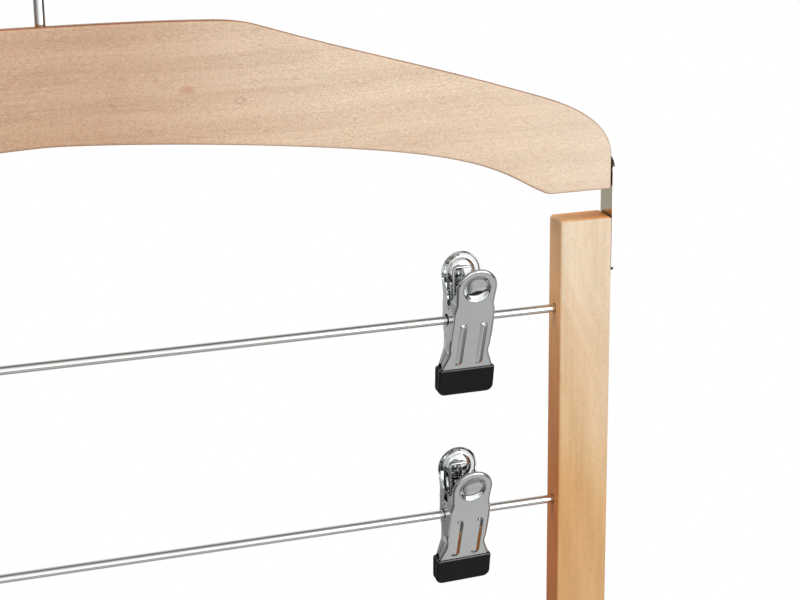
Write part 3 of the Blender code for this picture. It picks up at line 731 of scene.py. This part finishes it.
def rail_tone_and_painted_light(tree, base):
    """The rails' tone deepens from their tops down to the second tier, most near the inner edge,
    so their paler tops are painted sheen; their sides are deeper still, and their ends are
    partly deeper end grain and partly painted light."""
    place = object_place(tree)
    inward = off_middle(tree, place, "X")
    up = axis_of(tree, place, "Z")
    # Painted sheen: paler, greyer tops that deepen downward and inward, as the lamps' sheen on the lacquer fades.
    height = summed(tree, [(noise(tree, place, 30.0), 0.03), (up, 1.0), (inward, 1.0)])
    top = RAIL_HIGH.z + (RAIL_LOW.x + RAIL_HIGH.x) / 2
    deep = scaled_range(tree, height, top - 0.014, top - 0.102)
    across = scaled_range(tree, inward, RAIL_LOW.x, RAIL_HIGH.x, 1.0, 0.0)
    base = multiplied(tree, deep, base, (0.86, 0.66, 0.42))
    base = multiplied(tree, math_node(tree, "MULTIPLY", across, deep), base, (0.94, 0.85, 0.70))
    base = multiplied(tree, flame(tree, place), base, (0.95, 0.90, 0.83))
    side_tone = mixed(tree, deep, (0.86, 0.61, 0.39), (0.78, 0.42, 0.145))
    side = multiplied(tree, facing(tree, "X"), base, side_tone)
    # Partly deeper end grain, partly painted light: the tops are pushed redder and brighter than the wood can be,
    # and the lower ends darker.
    top_grain_and_painted_light = mixed(tree, across, (1.38, 0.68, 0.23), (1.42, 1.06, 0.61))
    ends_grain_and_painted_light = mixed(tree, deep, top_grain_and_painted_light, (0.74, 0.52, 0.36))
    return multiplied(tree, facing(tree, "Z", 0.60, 0.95), side, ends_grain_and_painted_light)


def metal_material(name, colour, low, high, brush=None, dents=0.0, tint=lambda tree, tone: tone):
    """Bright or brushed metal, with a roughness that drifts and fine marks."""
    made, tree, shader = empty_material(name)
    place = object_place(tree, scale=brush or (1, 1, 1))
    marks = noise(tree, place, 1.0 if brush else 260.0, 3.0, 0.6)
    tone = ramp(tree, marks, [(0.2, tuple(0.95 * c for c in colour)), (0.8, colour)])
    connect(tree, shader, Base_Color=tint(tree, tone), Metallic=1.0,
            Roughness=scaled_range(tree, marks, 0.3, 0.7, low, high))
    if dents:
        connect(tree, shader, Normal=bump(tree, dents, 0.0001, noise(tree, object_place(tree), 180.0)))
    return made


def strap_painted_highlight_and_shade(tree, base):
    """Painted highlight, near white, on the thin front and back edges; painted shade, near black, where the ends
    turn.
    """
    # Painted highlight on the thin front and back edges, then painted shade on the edges that face up or down.
    edge = mixed(tree, facing(tree, "Y", 0.80, 0.95), base, (0.96, 0.95, 0.92))
    return multiplied(tree, facing(tree, "Z", 0.12, 0.30), edge, (0.10, 0.09, 0.08))


def rubber_material(name):
    """Glossy dipped rubber with a faint skin."""
    made, tree, shader = empty_material(name)
    place = object_place(tree)
    drift = noise(tree, place, 120.0)
    tone = ramp(tree, drift, [(0.3, (0.0055, 0.0051, 0.0046)), (0.7, (0.0080, 0.0074, 0.0068))])
    rim = facing(tree, "Z", 0.25, 0.60)
    dull = scaled_range(tree, drift, 0.3, 0.7, 0.30, 0.42)
    connect(tree, shader, Base_Color=tone, Roughness=summed(tree, [(rim, -0.15), (dull, 1.0)]),
            Specular_IOR_Level=scaled_range(tree, rim, 0.0, 1.0, 0.17, 1.0),
            Normal=bump(tree, 0.10, 0.0001, noise(tree, place, 900.0, 3.0, 0.6)))
    return made


FINISHES = {
    "crown": (wood_material(
        "crown_maple", (0, 0, 0), CROWN_TONES, (0.07, (0.1, 0.03, 0.21), (3, 1.5, 0), 26.0), 1.06,
        (0.88, 0.82, 0.76), crown_tone_and_painted_light), "maple"),
    "rail": (wood_material(
        "rail_maple", (0, 90, 0), RAIL_TONES, (0.10, (0.1, 0.04, 0.20), (0, 10, 3), 26.0), 0.66,
        (0.93, 0.89, 0.85), rail_tone_and_painted_light), "maple"),
    "chrome": (metal_material("bright_chrome", (0.72, 0.742, 0.732), 0.04, 0.08, dents=0.008), "chrome"),
    "rod": (metal_material("rod_chrome", (0.80, 0.80, 0.79), 0.10, 0.18, brush=(90, 700, 700)), "chrome"),
    "spring": (metal_material("spring_wire", (0.80, 0.80, 0.81), 0.10, 0.16), "spring_steel"),
    "strap": (metal_material(
        "strap_nickel", (0.665, 0.60, 0.46), 0.13, 0.20, brush=(1600, 1600, 60), tint=strap_painted_highlight_and_shade),
        "strap_steel"),
    "screw": (metal_material("screw_nickel", (0.66, 0.62, 0.54), 0.18, 0.28), "strap_steel"),
    "rubber": (rubber_material("dipped_rubber"), "black_rubber"),
}


def fine_piece(node, mesh, finish, angle=35):
    """Object of a fine mesh with its finish on."""
    if not mesh.materials:
        mesh.materials.append(FINISHES[finish][0])
        smooth(mesh, angle)
    return placed(node + "_fine", mesh)


def dress(node, mesh, finish, angle=35, matrix=None):
    """Fine piece that stands for a node: it rides on the node's body, and the node's own mesh is hidden."""
    piece = fine_piece(node, mesh, finish, angle)
    if matrix is not None:
        piece.matrix_world = matrix
    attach(piece, BODY_OF[node])
    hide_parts(node)
    normals = piece.modifiers.new("Weighted Normal", "WEIGHTED_NORMAL")
    normals.keep_sharp = True
    normals.weight = 80


# Wood

def crown_half_outline():
    """Right half of the crown's outline, from its top centre round to its arch centre."""
    top, foot, end = CROWN_HIGH.z, CROWN_LOW.z, CROWN_HIGH.x
    corner = (FLAT_HALF, top - CAMBER)
    slope = (FLAT_HALF + CORNER_RUN, top - CAMBER - CORNER_DROP)
    shoulder = (end - SHOULDER_REACH, foot + SHOULDER_HEIGHT)
    run = math.dist(slope, shoulder)
    end_top = (end, foot + END_HEIGHT)
    foot_inner = end - FOOT_WIDTH
    rise = math.radians(ARCH_ANGLE)
    spring = (foot_inner - FOOT_EASE * math.cos(rise), foot + FOOT_EASE * math.sin(rise))
    haunch = (end - HAUNCH_INSET, foot + HAUNCH_HEIGHT)
    arch = (0.0, foot + ARCH_HEIGHT)
    points = sweep((0.0, top), 0, FLAT_HALF / 3, corner, -CAMBER_ANGLE, FLAT_HALF / 3, 8)
    points += sweep(corner, -CAMBER_ANGLE, CORNER_ARM, slope, -SLOPE_ANGLE, CORNER_ARM, 12)
    points += sweep(slope, -SLOPE_ANGLE, run / 3, shoulder, -SLOPE_ANGLE, run / 3, 8)
    points += sweep(shoulder, -SLOPE_ANGLE, SHOULDER_ARM, end_top, -90, END_ARM, 30)
    points.append(end_top)
    points += arc((end - FOOT_CORNER, foot + FOOT_CORNER), FOOT_CORNER, 0, -90, 6)
    points += sweep((foot_inner + FOOT_EASE, foot), 180, FOOT_ARM, spring, 180 - ARCH_ANGLE, FOOT_ARM, 8)
    points += sweep(spring, 180 - ARCH_ANGLE, ARCH_ARM, haunch, 180 - HAUNCH_ANGLE, HAUNCH_ARM, 26)
    points += sweep(haunch, 180 - HAUNCH_ANGLE, HAUNCH_ARM, arch, 180, APEX_ARM, 18)
    points.append(arch)
    return points


def dress_crown():
    """Crown with rounded edges, its hook bore with counterbore, and the pivot pilots."""
    mesh = board("crown_fine", mirrored(crown_half_outline()), CROWN_EASE, 5, CROWN_RAKE)
    arch = CROWN_LOW.z + ARCH_HEIGHT
    height = CROWN_HIGH.z - arch
    pivot = STRAP_HIGH.z - (STRAP_HIGH.y - STRAP_LOW.y) / 2
    tools = [bore(HOOK_WIRE / 2 + GAP, height + 4 * HOOK_WIRE, "Z", (0, 0, arch + height / 2)),
             bore(WASHER_HIGH.x + GAP, 2 * COUNTERBORE_DEPTH, "Z", (0, 0, arch))]
    tools += [bore(SCREW_RADIUS + GAP, 2 * PIVOT_PILOT_DEPTH, "X", (side * CROWN_HIGH.x, 0, pivot))
              for _, side in SIDES]
    dress("crown", combined(mesh, "DIFFERENCE", tools), "crown", 40)


def rail_outline(side):
    """Rail seen from the front: the outer corners are rounded more than the inner ones."""
    far, near = RAIL_OUTER_CORNER, RAIL_INNER_CORNER
    left, right, low, high = RAIL_LOW.x, RAIL_HIGH.x, RAIL_LOW.z, RAIL_HIGH.z
    points = arc((right - far, high - far), far, 90, 0, 12)
    points += arc((right - far, low + far), far, 0, -90, 12)
    points += arc((left + near, low + near), near, -90, -180, 6)
    points += arc((left + near, high - near), near, 180, 90, 6)
    points = spaced(points, 0.010)
    return points if side > 0 else [(-x, z) for x, z in reversed(points)]


def dress_rails():
    """Rails with rounded edges, the rods' sockets and the strap screws' pilots."""
    for name, side in SIDES:
        node = "rail_" + name
        mesh = board(node + "_fine", rail_outline(side), RAIL_EASE, 4, RAIL_RAKE,
                     lambda normal: 1.0 - (1.0 - RAIL_OUTER_SHARE) * max(0.0, side * normal.x))
        tools = [bore(ROD_RADIUS + GAP, 2 * SOCKET_DEPTH, "X", (side * RAIL_LOW.x, 0, rod_height(tier)))
                 for tier in range(TIERS)]
        tools += [bore(SCREW_RADIUS + GAP, 2 * RAIL_PILOT_DEPTH, "X", (side * RAIL_HIGH.x, 0, height))
                  for height in strap_screw_heights()]
        dress(node, combined(mesh, "DIFFERENCE", tools), "rail", 40)


def rod_height(tier):
    """Height of a tier's rod, tier 0 being the top one."""
    low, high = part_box("rod_%d" % (tier + 1))
    return (low.z + high.z) / 2


def strap_screw_heights():
    """Heights of the two screws that hold a strap to its rail."""
    lower = STRAP_LOW.z + (STRAP_HIGH.y - STRAP_LOW.y) / 2
    return (lower, lower + STRAP_SCREW_PITCH)


# Metal fittings

def dress_hook():
    """Hook of round wire with a rounded tip and an upset head, and the washer above it."""
    low = HOOK_LOW.z + HOOK_HEAD_HEIGHT
    radius = HOOK_SEAT_RADIUS + HOOK_WIRE / 2
    crook = arc((0.0, -HOOK_SEAT_RADIUS), radius, HOOK_TIP_ANGLE, HOOK_TURN_ANGLE, 90)
    neck_top = (0.0, CROWN_HIGH.z + HOOK_NECK)
    neck = sweep(crook[-1], HOOK_TURN_ANGLE - 90, radius / 2, neck_top, -90, radius / 2, 24)
    line = crook[:-1] + neck + [neck_top, (0.0, (neck_top[1] + low) / 2), (0.0, low)]
    wire = tube("hook_fine", [(x, 0.0, z) for x, z in line], HOOK_WIRE / 2, 24, (5, 0))
    top, size = HOOK_HEAD_HEIGHT / 2, HOOK_HEAD_RADIUS
    profile = [(0, top), (size * 0.95, top), (size, top * 0.8), (size, -top / 3),
               (size * 0.86, -top * 0.8), (size * 0.6, -top), (0, -top)]
    head = moved(turned("hook_head", profile, 32), (0, 0, HOOK_LOW.z + HOOK_HEAD_HEIGHT / 2))
    dress("hook", combined(wire, "UNION", [head]), "chrome")
    ring = [circle(WASHER_HIGH.x, 72), circle(HOOK_WIRE / 2 + GAP, 36)]
    washer = plate("swivel_washer_fine", ring, WASHER_HIGH.z - WASHER_LOW.z, Matrix.Identity(4))
    washer = moved(eased(washer), (0, 0, (WASHER_LOW.z + WASHER_HIGH.z) / 2))
    dress("swivel_washer", washer, "screw")


def dress_straps():
    """Flat straps, round at the top, with slightly broken edges and three holes."""
    radius, corner = (STRAP_HIGH.y - STRAP_LOW.y) / 2, STRAP_CORNER
    pivot = STRAP_HIGH.z - radius
    outline = arc((0, pivot), radius, 0, 180, 32)
    outline += arc((corner - radius, STRAP_LOW.z + corner), corner, 180, 270, 10)
    outline += arc((radius - corner, STRAP_LOW.z + corner), corner, 270, 360, 10)
    holes = [circle(SCREW_RADIUS + GAP, 36, (0, height)) for height in (pivot, *strap_screw_heights())]
    for name, side in SIDES:
        mesh = plate("strap_fine", [outline, *holes], STRAP_HIGH.x - STRAP_LOW.x, PLANE_YZ)
        mesh = moved(eased(mesh), (side * (STRAP_LOW.x + STRAP_HIGH.x) / 2, 0, 0))
        dress("strap_" + name, mesh, "strap")


def cross_recess():
    """Tapered cross that cuts the driver recess into a screw's head."""
    half, reach = CROSS_HALF, CROSS_REACH
    outline = []
    for turn in range(4):
        spin = Matrix.Rotation(turn * math.pi / 2, 2)
        outline += [tuple(spin @ Vector(p)) for p in ((half, -half), (reach, -half), (reach, half))]
    mesh = plate("cross", [outline], 2 * SCREW_HEAD_HEIGHT, Matrix.Identity(4))
    for vert in mesh.vertices:
        if vert.co.z < 0:
            vert.co.x *= CROSS_TAPER
            vert.co.y *= CROSS_TAPER
    return moved(mesh, (0, 0, SCREW_HEAD_HEIGHT * 1.25))


def dress_screws():
    """Screws with a domed head and a cross recess, heads outward."""
    head, rise = SCREW_HEAD_RADIUS, SCREW_HEAD_HEIGHT
    meshes = {}
    for node in sorted(frame["nodes"]):
        if "screw" not in node:
            continue
        low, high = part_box(node)
        side = 1 if high.x > 0 else -1
        length = high.x - low.x - rise
        key = round(length, 5)
        if key not in meshes:
            turns = [math.radians(degrees) for degrees in range(0, 90, 9)]
            profile = [(head * math.sin(turn), rise * math.cos(turn) ** 1.2) for turn in turns]
            profile += [(head, rise * 0.06), (head * 0.97, 0), (SCREW_RADIUS, 0)]
            profile += [(SCREW_RADIUS, -length * 0.8), (SCREW_RADIUS * 0.3, -length * 0.97), (0, -length)]
            meshes[key] = combined(turned("screw_fine", profile, 32), "DIFFERENCE", [cross_recess()])
        seat = (high.x - rise) if side > 0 else (low.x + rise)
        turn = Matrix.Rotation(side * math.pi / 2, 4, "Y")
        dress(node, meshes[key], "screw", 35, Matrix.Translation((seat, 0, (low.z + high.z) / 2)) @ turn)


def dress_rods():
    """Round rods with broken ends."""
    radius, edge = ROD_RADIUS, ROD_EDGE
    low, high = ROD_LOW.x, ROD_HIGH.x
    profile = [(0, high), (radius - edge, high), (radius, high - edge)]
    run = low + 2 * edge - high
    profile += [(radius, high - edge + run * step / ROD_STEPS) for step in range(1, ROD_STEPS)]
    profile += [(radius, low + edge), (radius - edge, low), (0, low)]
    mesh = turned("rod_fine", profile, 56, "X")
    for tier in range(TIERS):
        place = Matrix.Translation((0, 0, rod_height(tier)))
        dress("rod_%d" % (tier + 1), mesh, "rod", 30, place)


# Clips

def plate_depth(height):
    """Depth of a jaw's outer face at a height, with its bends rounded."""
    return softened(lambda place: read_off(FACE_LINE, place), height, BEND_REACH)


def wall_depth(height):
    """How far the turned-in edge reaches below the face: a wall that meets the other jaw's
    under the rod and clears it above when the clip is open, and a narrow flange round the pad."""
    if height < FLANGE_END:
        return ROLL
    high_edge = max(WALL_TOP_EDGE, height * OPEN_SLOPE + OPEN_GAP)
    wall = plate_depth(height) - (WALL_GAP if height < 0 else high_edge)
    share = min(1.0, max(0.0, (height - NECK[1]) / (FLANGE_START - NECK[1])))
    share = share * share * (3 - 2 * share)
    return wall + (FLANGE_DEPTH - wall) * share


def jaw_outline(shoulder):
    """Closed outline of a jaw's blank with smooth corners."""
    pad = arc((0, PAD_HEIGHT), PAD_RADIUS, 90, -10, 22)
    side = rounded([(pad[-1], 0), (NECK, 0.0040), ((shoulder, SHOULDER_TOP), 0.0030),
                    ((shoulder, SHOULDER_BOTTOM), 0.0050), (WAIST, 0.0060), ((JAW_HALF, JAW_TOP), 0.0020),
                    ((JAW_HALF, JAW_TIP), 0.0016), ((0, JAW_TIP), 0)])
    return spaced(mirrored(pad[:-1] + side), OUTLINE_STEP)


def outward(loop):
    """Unit normals out of a closed clockwise loop."""
    normals = []
    for before, after in zip(loop[-1:] + loop[:-1], loop[1:] + loop[:1]):
        along = Vector((after[0] - before[0], after[1] - before[1])).normalized()
        normals.append(Vector((-along.y, along.x)))
    return normals


def capsule(centre, half):
    """Loop of a rib's shape with a half width, its ends round."""
    low, high = RIB_BOTTOM + RIB_HALF, RIB_TOP - RIB_HALF
    rows = range(1, RIB_ROWS)
    points = arc((centre, high), half, 180, 0, RIB_END_STEPS)
    points += [(centre + half, high + (low - high) * row / RIB_ROWS) for row in rows]
    points += arc((centre, low), half, 0, -180, RIB_END_STEPS)
    return points + [(centre - half, low + (high - low) * row / RIB_ROWS) for row in rows]


def dish_depths(radii):
    """Depths of the dish at a row of radii from its edge inward."""
    depths, depth = [], 0.0
    for outer, inner in zip(radii, radii[1:]):
        slope = read_off(DISH_SLOPES, (outer + inner) / 2)
        depth -= math.tan(math.radians(slope)) * (outer - inner)
        depths.append(depth)
    return depths


def rib_rise(inset):
    """Height of a rib at a distance in from its edge."""
    return RIB_HEIGHT * min(1.0, max(0.0, (inset - RIB_REACH) / RIB_FLANK))


def grid_points(loop, features):
    """Even grid of points over the face, clear of its edge and of what is pressed in it."""
    def clear(place, ring, gap):
        return min(math.dist(place, point) for point in ring) >= gap

    points = []
    across = int(JAW_HALF / FACE_STEP) + 2
    for row in range(int((PAD_HEIGHT + PAD_RADIUS) / FACE_STEP) + 1, int(JAW_TIP / FACE_STEP) - 1, -1):
        for column in range(-across, across + 1):
            place = ((column + 0.5 * (row % 2)) * FACE_STEP, row * FACE_STEP)
            if not inside(place, loop) or any(inside(place, ring) for ring in features):
                continue
            if clear(place, loop, FACE_EDGE_GAP) and all(
                    clear(place, ring, FACE_PRESS_GAP) for ring in features):
                points.append(place)
    return points


def face_fill(shape, loop, features):
    """Flat face between the loops, as triangles; returns each loop's vertices."""
    loops = [loop, *features]
    points, edges = [], []
    for ring in loops:
        start = len(points)
        points += ring
        edges += [(start + i, start + (i + 1) % len(ring)) for i in range(len(ring))]
    points += grid_points(loop, features)
    flat = [Vector(point) for point in points]
    places, _, faces, origins, _, _ = delaunay_2d_cdt(flat, edges, [], 0, 1e-9, True)
    verts = [shape.verts.new((place.x, 0.0, place.y)) for place in places]
    for face in faces:
        middle = sum((places[i] for i in face), Vector((0, 0))) / len(face)
        if inside(middle, loop) and not any(inside(middle, ring) for ring in features):
            shape.faces.new([verts[i] for i in face])
    by_origin = {source: verts[i] for i, sources in enumerate(origins) for source in sources}
    starts = [sum(len(ring) for ring in loops[:i]) for i in range(len(loops))]
    return [[by_origin[start + i] for i in range(len(ring))] for start, ring in zip(starts, loops)]


def join_rings(shape, first, second):
    """Quads between two rings of vertices."""
    count = len(first)
    for i in range(count):
        j = (i + 1) % count
        shape.faces.new((first[i], first[j], second[j], second[i]))


def pressed_rings(shape, ring, loops, depths):
    """Rings of a pressed feature, from its edge inward, and its closing face."""
    for loop, depth in zip(loops, depths):
        inner = [shape.verts.new((x, depth, z)) for x, z in loop]
        join_rings(shape, ring, inner)
        ring = inner
    shape.faces.new(ring)


def jaw_sheet(name, shoulder):
    """Outer face of a jaw as an open sheet, with dish, ribs, rolled edge and walls. A narrow
    flat band beside each bend keeps the shading of the flat faces even."""
    shape = bmesh.new()
    outline = jaw_outline(shoulder)
    normals = outward(outline)
    reach = ROLL + FLAT_BAND
    inner = [(x - n.x * reach, z - n.y * reach) for (x, z), n in zip(outline, normals)]
    dish_edge = DISH_SLOPES[-1][0]
    dish_loop = circle(dish_edge + FLAT_BAND, DISH_SIDES, (0, PAD_HEIGHT))
    ribs = [capsule(centre, RIB_HALF + FLAT_BAND) for centre in (-RIB_OFFSET, RIB_OFFSET)]
    edge, dish, *rib_rings = face_fill(shape, inner, [dish_loop, *ribs])
    radii = [dish_edge - DISH_STEP * step for step in range(DISH_STEPS)]
    radii += [radii[-1] * share for share in DISH_SHARES]
    loops = [circle(radius, DISH_SIDES, (0, PAD_HEIGHT)) for radius in radii]
    pressed_rings(shape, dish, loops, [0.0] + dish_depths(radii))
    insets = [RIB_HALF * share for share in RIB_SHARES]
    for ring, centre in zip(rib_rings, (-RIB_OFFSET, RIB_OFFSET)):
        loops = [capsule(centre, RIB_HALF - inset) for inset in insets]
        pressed_rings(shape, ring, loops, [softened(rib_rise, inset, RIB_REACH) for inset in insets])
    rows = []
    for step in range(ROLL_STEPS + 1):
        turn = math.pi / 2 * step / ROLL_STEPS
        pull, drop = ROLL * (math.sin(turn) - 1), ROLL * (1 - math.cos(turn))
        rows.append([(x + n.x * pull, -drop, z + n.y * pull) for (x, z), n in zip(outline, normals)])
    for share in (0.5, 1.0):
        rows.append([(x, -ROLL - max(WALL_LEAST, wall_depth(z) - ROLL) * share, z) for x, z in outline])
    ring = edge
    for row in rows:
        following = [shape.verts.new(place) for place in row]
        join_rings(shape, following, ring)
        ring = following
    for vert in shape.verts:
        vert.co.y += plate_depth(vert.co.z)
    bmesh.ops.recalc_face_normals(shape, faces=shape.faces)
    if sum(face.normal.y * face.calc_area() for face in shape.faces) < 0:
        bmesh.ops.reverse_faces(shape, faces=shape.faces)
    return finished(shape, name)


def ear(name, side):
    """Ear that carries the jaw on the rod, its free end on a circle round the rod."""
    root = SHEET / 2
    tip = arc((0, 0), EAR_RADIUS, *EAR_ARC, 30)
    outline = [(plate_depth(EAR_TOP) - root, EAR_TOP), *tip, (WALL_GAP, EAR_BOTTOM),
               (plate_depth(EAR_BOTTOM) - root, EAR_BOTTOM), (plate_depth(0) - root, 0.0)]
    return moved(plate(name, [outline], SHEET, PLANE_YZ), (side, 0, 0))


def jaw(name, shoulder):
    """One stamped jaw: the sheet at full thickness with its two ears joined on, and the
    rod's hole through ears and walls."""
    mesh = modified(jaw_sheet(name, shoulder), "SOLIDIFY", thickness=SHEET, offset=-1.0,
                    use_even_offset=True)
    reach = shoulder - SHEET / 2 - EAR_INSET
    mesh = combined(mesh, "UNION", [ear(name + "_ear", side * reach) for side in (-1, 1)])
    hole = circle(ROD_RADIUS + EAR_CLEARANCE, 36)
    return combined(mesh, "DIFFERENCE", [plate(name + "_bore", [hole], 3 * SHOULDER_HALF, PLANE_YZ)])


def sleeve(name):
    """Dipped rubber sleeve with soft edges and a pocket for the jaw's end."""
    low, top = SLEEVE_CORNER, SLEEVE_EASE
    half = arc((SLEEVE_HALF - top, SLEEVE_TOP - top), top, 90, 0, 4)
    half += arc((SLEEVE_HALF - low, SLEEVE_BOTTOM + low), low, 0, -90, 12)
    outline = half + [(-x, z) for x, z in reversed(half)]
    thick = plate_depth(SLEEVE_TOP) + SLEEVE_COAT
    thin = JAW_DEPTH + SLEEVE_COAT

    def outer(height):
        share = (SLEEVE_TOP - height) / (SLEEVE_TOP - SLEEVE_BOTTOM)
        return thick + (thin - thick) * share

    mesh = slab(name, outline, lambda height: SLEEVE_INNER, outer, SLEEVE_EASE, 5)
    clear = SLEEVE_POCKET_GAP
    deep = JAW_TIP - clear - FLANGE_END
    heights = [FLANGE_END + deep * step / POCKET_STEPS for step in range(POCKET_STEPS + 1)]
    pocket = [(plate_depth(height) + clear, height) for height in heights]
    pocket += [(plate_depth(height) - ROLL - clear, height) for height in reversed(heights)]
    cutter = plate(name + "_pocket", [pocket], 2 * (JAW_HALF + clear), PLANE_YZ)
    return combined(mesh, "DIFFERENCE", [cutter])


def spring_path():
    """Centre line of a torsion spring: cross bar, leg, coil round the rod, leg, cross bar."""
    half = SPRING_TURNS * SPRING_PITCH / 2
    bend = SPRING_BEND
    top = Vector((-half, SPRING_LEG_DEPTH, SPRING_LEG_HEIGHT))
    slope = math.atan2(SPRING_LEG_HEIGHT, SPRING_LEG_DEPTH)
    touch = slope - math.acos(SPRING_RADIUS / math.hypot(SPRING_LEG_HEIGHT, SPRING_LEG_DEPTH))
    foot = Vector((-half, SPRING_RADIUS * math.cos(touch), SPRING_RADIUS * math.sin(touch)))
    lean = (foot - top).normalized()
    across = Vector((1, 0, 0))
    start = [top + across * SPRING_BAR, top + across * (SPRING_BAR + bend) / 2]
    centre = top + (across + lean) * bend
    for step in range(SPRING_BEND_STEPS + 1):
        turn = math.pi / 2 * step / SPRING_BEND_STEPS
        start.append(centre - lean * bend * math.cos(turn) - across * bend * math.sin(turn))
    start += [top + (foot - top) * share for share in SPRING_LEG_SHARES]
    last = -2 * math.pi * SPRING_TURNS - touch
    count = round(SPRING_TURNS * SPRING_COIL_STEPS)
    coil = []
    for step in range(count + 1):
        angle = touch + (last - touch) * step / count
        along = -half + 2 * half * step / count
        coil.append(Vector((along, SPRING_RADIUS * math.cos(angle), SPRING_RADIUS * math.sin(angle))))
    return start + coil + [Vector((-p.x, -p.y, p.z)) for p in reversed(start)]


def clip_matrix(tier, name, side):
    """Place of a clip: on its rod, tilted sideways and leaned."""
    pivot = Vector(JOINTS["clip_%d_%s_open" % (tier + 1, name)]["pos_m"])
    lean = Matrix.Rotation(math.radians(CLIP_LEAN[tier]), 4, "X")
    tilt = Matrix.Rotation(math.radians(-side * CLIP_TILT[tier]), 4, "Y")
    return Matrix.Translation(pivot) @ lean @ tilt


def dress_clips():
    """Every clip: jaws, sleeves and spring, from shared meshes."""
    rubber = sleeve("sleeve_fine")
    roles = {"rear_jaw": (jaw("rear_jaw_fine", SHOULDER_HALF - SHEET - NEST_GAP), "chrome"),
             "front_jaw": (jaw("front_jaw_fine", SHOULDER_HALF), "chrome"),
             "rear_sleeve": (rubber, "rubber"),
             "front_sleeve": (rubber.copy(), "rubber")}
    for role in ("front_jaw", "front_sleeve"):
        roles[role][0].transform(TURN_ABOUT)
    spring = tube("spring_fine", spring_path(), SPRING_WIRE / 2, 14, (3, 3))
    for tier in range(TIERS):
        for name, side in SIDES:
            matrix = clip_matrix(tier, name, side)
            clip = "%d_%s" % (tier + 1, name)
            for role, (mesh, finish) in roles.items():
                dress(role + "_" + clip, mesh, finish, 35, matrix)
            dress_spring(clip, spring, matrix)


def dress_spring(clip, mesh, matrix):
    """Spring placed at its clip and baked there; it rides on no body and does not bend, and the frame's own spring
    is hidden.
    """
    node = "spring_" + clip
    own = mesh.copy()
    own.transform(matrix)
    piece = fine_piece(node, own, "spring")
    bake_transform(piece)
    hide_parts(node)


# Studio

def mix_shaders(tree, factor, first, second, output):
    """Two shaders mixed by a factor, on the way to an output node."""
    mix = shader_node(tree, "MixShader", i0=factor, i1=first.outputs[0], i2=second.outputs[0])
    connect(tree, output, Surface=mix.outputs[0])


def make_floor():
    """Pale floor that keeps the shadow near the hanger and turns white further away."""
    made, tree, shader = empty_material("studio_floor")
    connect(tree, shader, Base_Color=FLOOR_TONE, Roughness=0.9)
    place = shader_node(tree, "NewGeometry").outputs["Position"]
    far = vector_math(tree, "LENGTH", vector_math(tree, "MULTIPLY", place, (1, 1, 0)))
    fade = scaled_range(tree, far, FADE_START, FADE_END)
    white = shader_node(tree, "Emission", Color=WHITE, Strength=1.0)
    factor = math_node(tree, "MULTIPLY", fade, shader_node(tree, "LightPath").outputs["Is Camera Ray"])
    mix_shaders(tree, factor, shader, white, tree.nodes["Material Output"])
    height, reach = RAIL_LOW.z - FLOOR_DROP, FLOOR_REACH
    corners = [(-reach, FLOOR_FRONT), (reach, FLOOR_FRONT), (reach, reach), (-reach, reach)]
    mesh = bpy.data.meshes.new("floor")
    mesh.from_pydata([(x, y, height) for x, y in corners], [], [(0, 1, 2, 3)])
    mesh.materials.append(made)
    floor = placed("floor", mesh)
    floor.visible_glossy = False


def make_world():
    """Studio round the object: a broad white front, a dark ceiling and paler back and sides.
    The camera sees plain white."""
    world = bpy.data.worlds.new("studio")
    bpy.context.scene.world = world
    world.use_nodes = True
    tree = world.node_tree
    tree.nodes.clear()
    way = shader_node(tree, "TexCoord").outputs["Generated"]
    across, height = axis_of(tree, way, "X"), axis_of(tree, way, "Z")
    ahead = math_node(tree, "MULTIPLY", axis_of(tree, way, "Y"), -1.0)
    angle = math_node(tree, "ARCTAN2", height, ahead)
    band = levels(tree, angle, [(math.radians(degrees), level) for degrees, level in WORLD_BAND])
    upper, middle, lower = [
        levels(tree, across, stops) for stops in (WORLD_UPPER, WORLD_MIDDLE, WORLD_LOWER)]
    sides = mixed(tree, scaled_range(tree, height, -0.85, -0.80), lower, middle)
    sides = mixed(tree, scaled_range(tree, height, -0.42, -0.25), sides, upper)
    level = mixed(tree, 1.0, band, sides, "MULTIPLY")
    around = shader_node(tree, "Background", Color=level, Strength=1.0)
    white = shader_node(tree, "Background", Color=WHITE, Strength=1.0)
    output = shader_node(tree, "OutputWorld")
    mix_shaders(tree, shader_node(tree, "LightPath").outputs["Is Camera Ray"], around, white, output)


def make_lamp(name, place, target, size, watts, mirrored_in_metal):
    """Square soft lamp aimed at a place."""
    lamp = bpy.data.lights.new(name, "AREA")
    lamp.size = size
    lamp.energy = watts
    obj = placed(name, lamp)
    obj.visible_glossy = mirrored_in_metal
    obj.location = place
    obj.rotation_euler = (Vector(target) - Vector(place)).to_track_quat("-Z", "Y").to_euler()


def make_camera():
    """Camera at the photograph's place."""
    yaw, pitch, roll = CAMERA_YAW, CAMERA_PITCH, CAMERA_ROLL
    forward = Vector((math.sin(yaw) * math.cos(pitch), math.cos(yaw) * math.cos(pitch), -math.sin(pitch)))
    level = Vector((math.cos(yaw), -math.sin(yaw), 0))
    down = forward.cross(level)
    right = math.cos(roll) * level + math.sin(roll) * down
    up = math.sin(roll) * level - math.cos(roll) * down
    camera = bpy.data.cameras.new("camera")
    camera.sensor_width = SENSOR
    camera.lens = FOCAL_PIXELS / PICTURE_WIDTH * SENSOR
    camera.clip_start = 0.01
    camera.clip_end = 50.0
    obj = placed("camera", camera)
    turn = Matrix((right, up, -forward)).transposed().to_4x4()
    obj.matrix_world = Matrix.Translation(CAMERA_PLACE) @ turn
    bpy.context.scene.camera = obj


dress_crown()
dress_rails()
dress_hook()
dress_straps()
dress_screws()
dress_rods()
dress_clips()
bpy.data.collections.remove(TEMPORARY)

make_floor()
make_world()
for lamp_values in LAMPS:
    make_lamp(*lamp_values)
make_camera()
bpy.context.scene.view_settings.view_transform = "Standard"
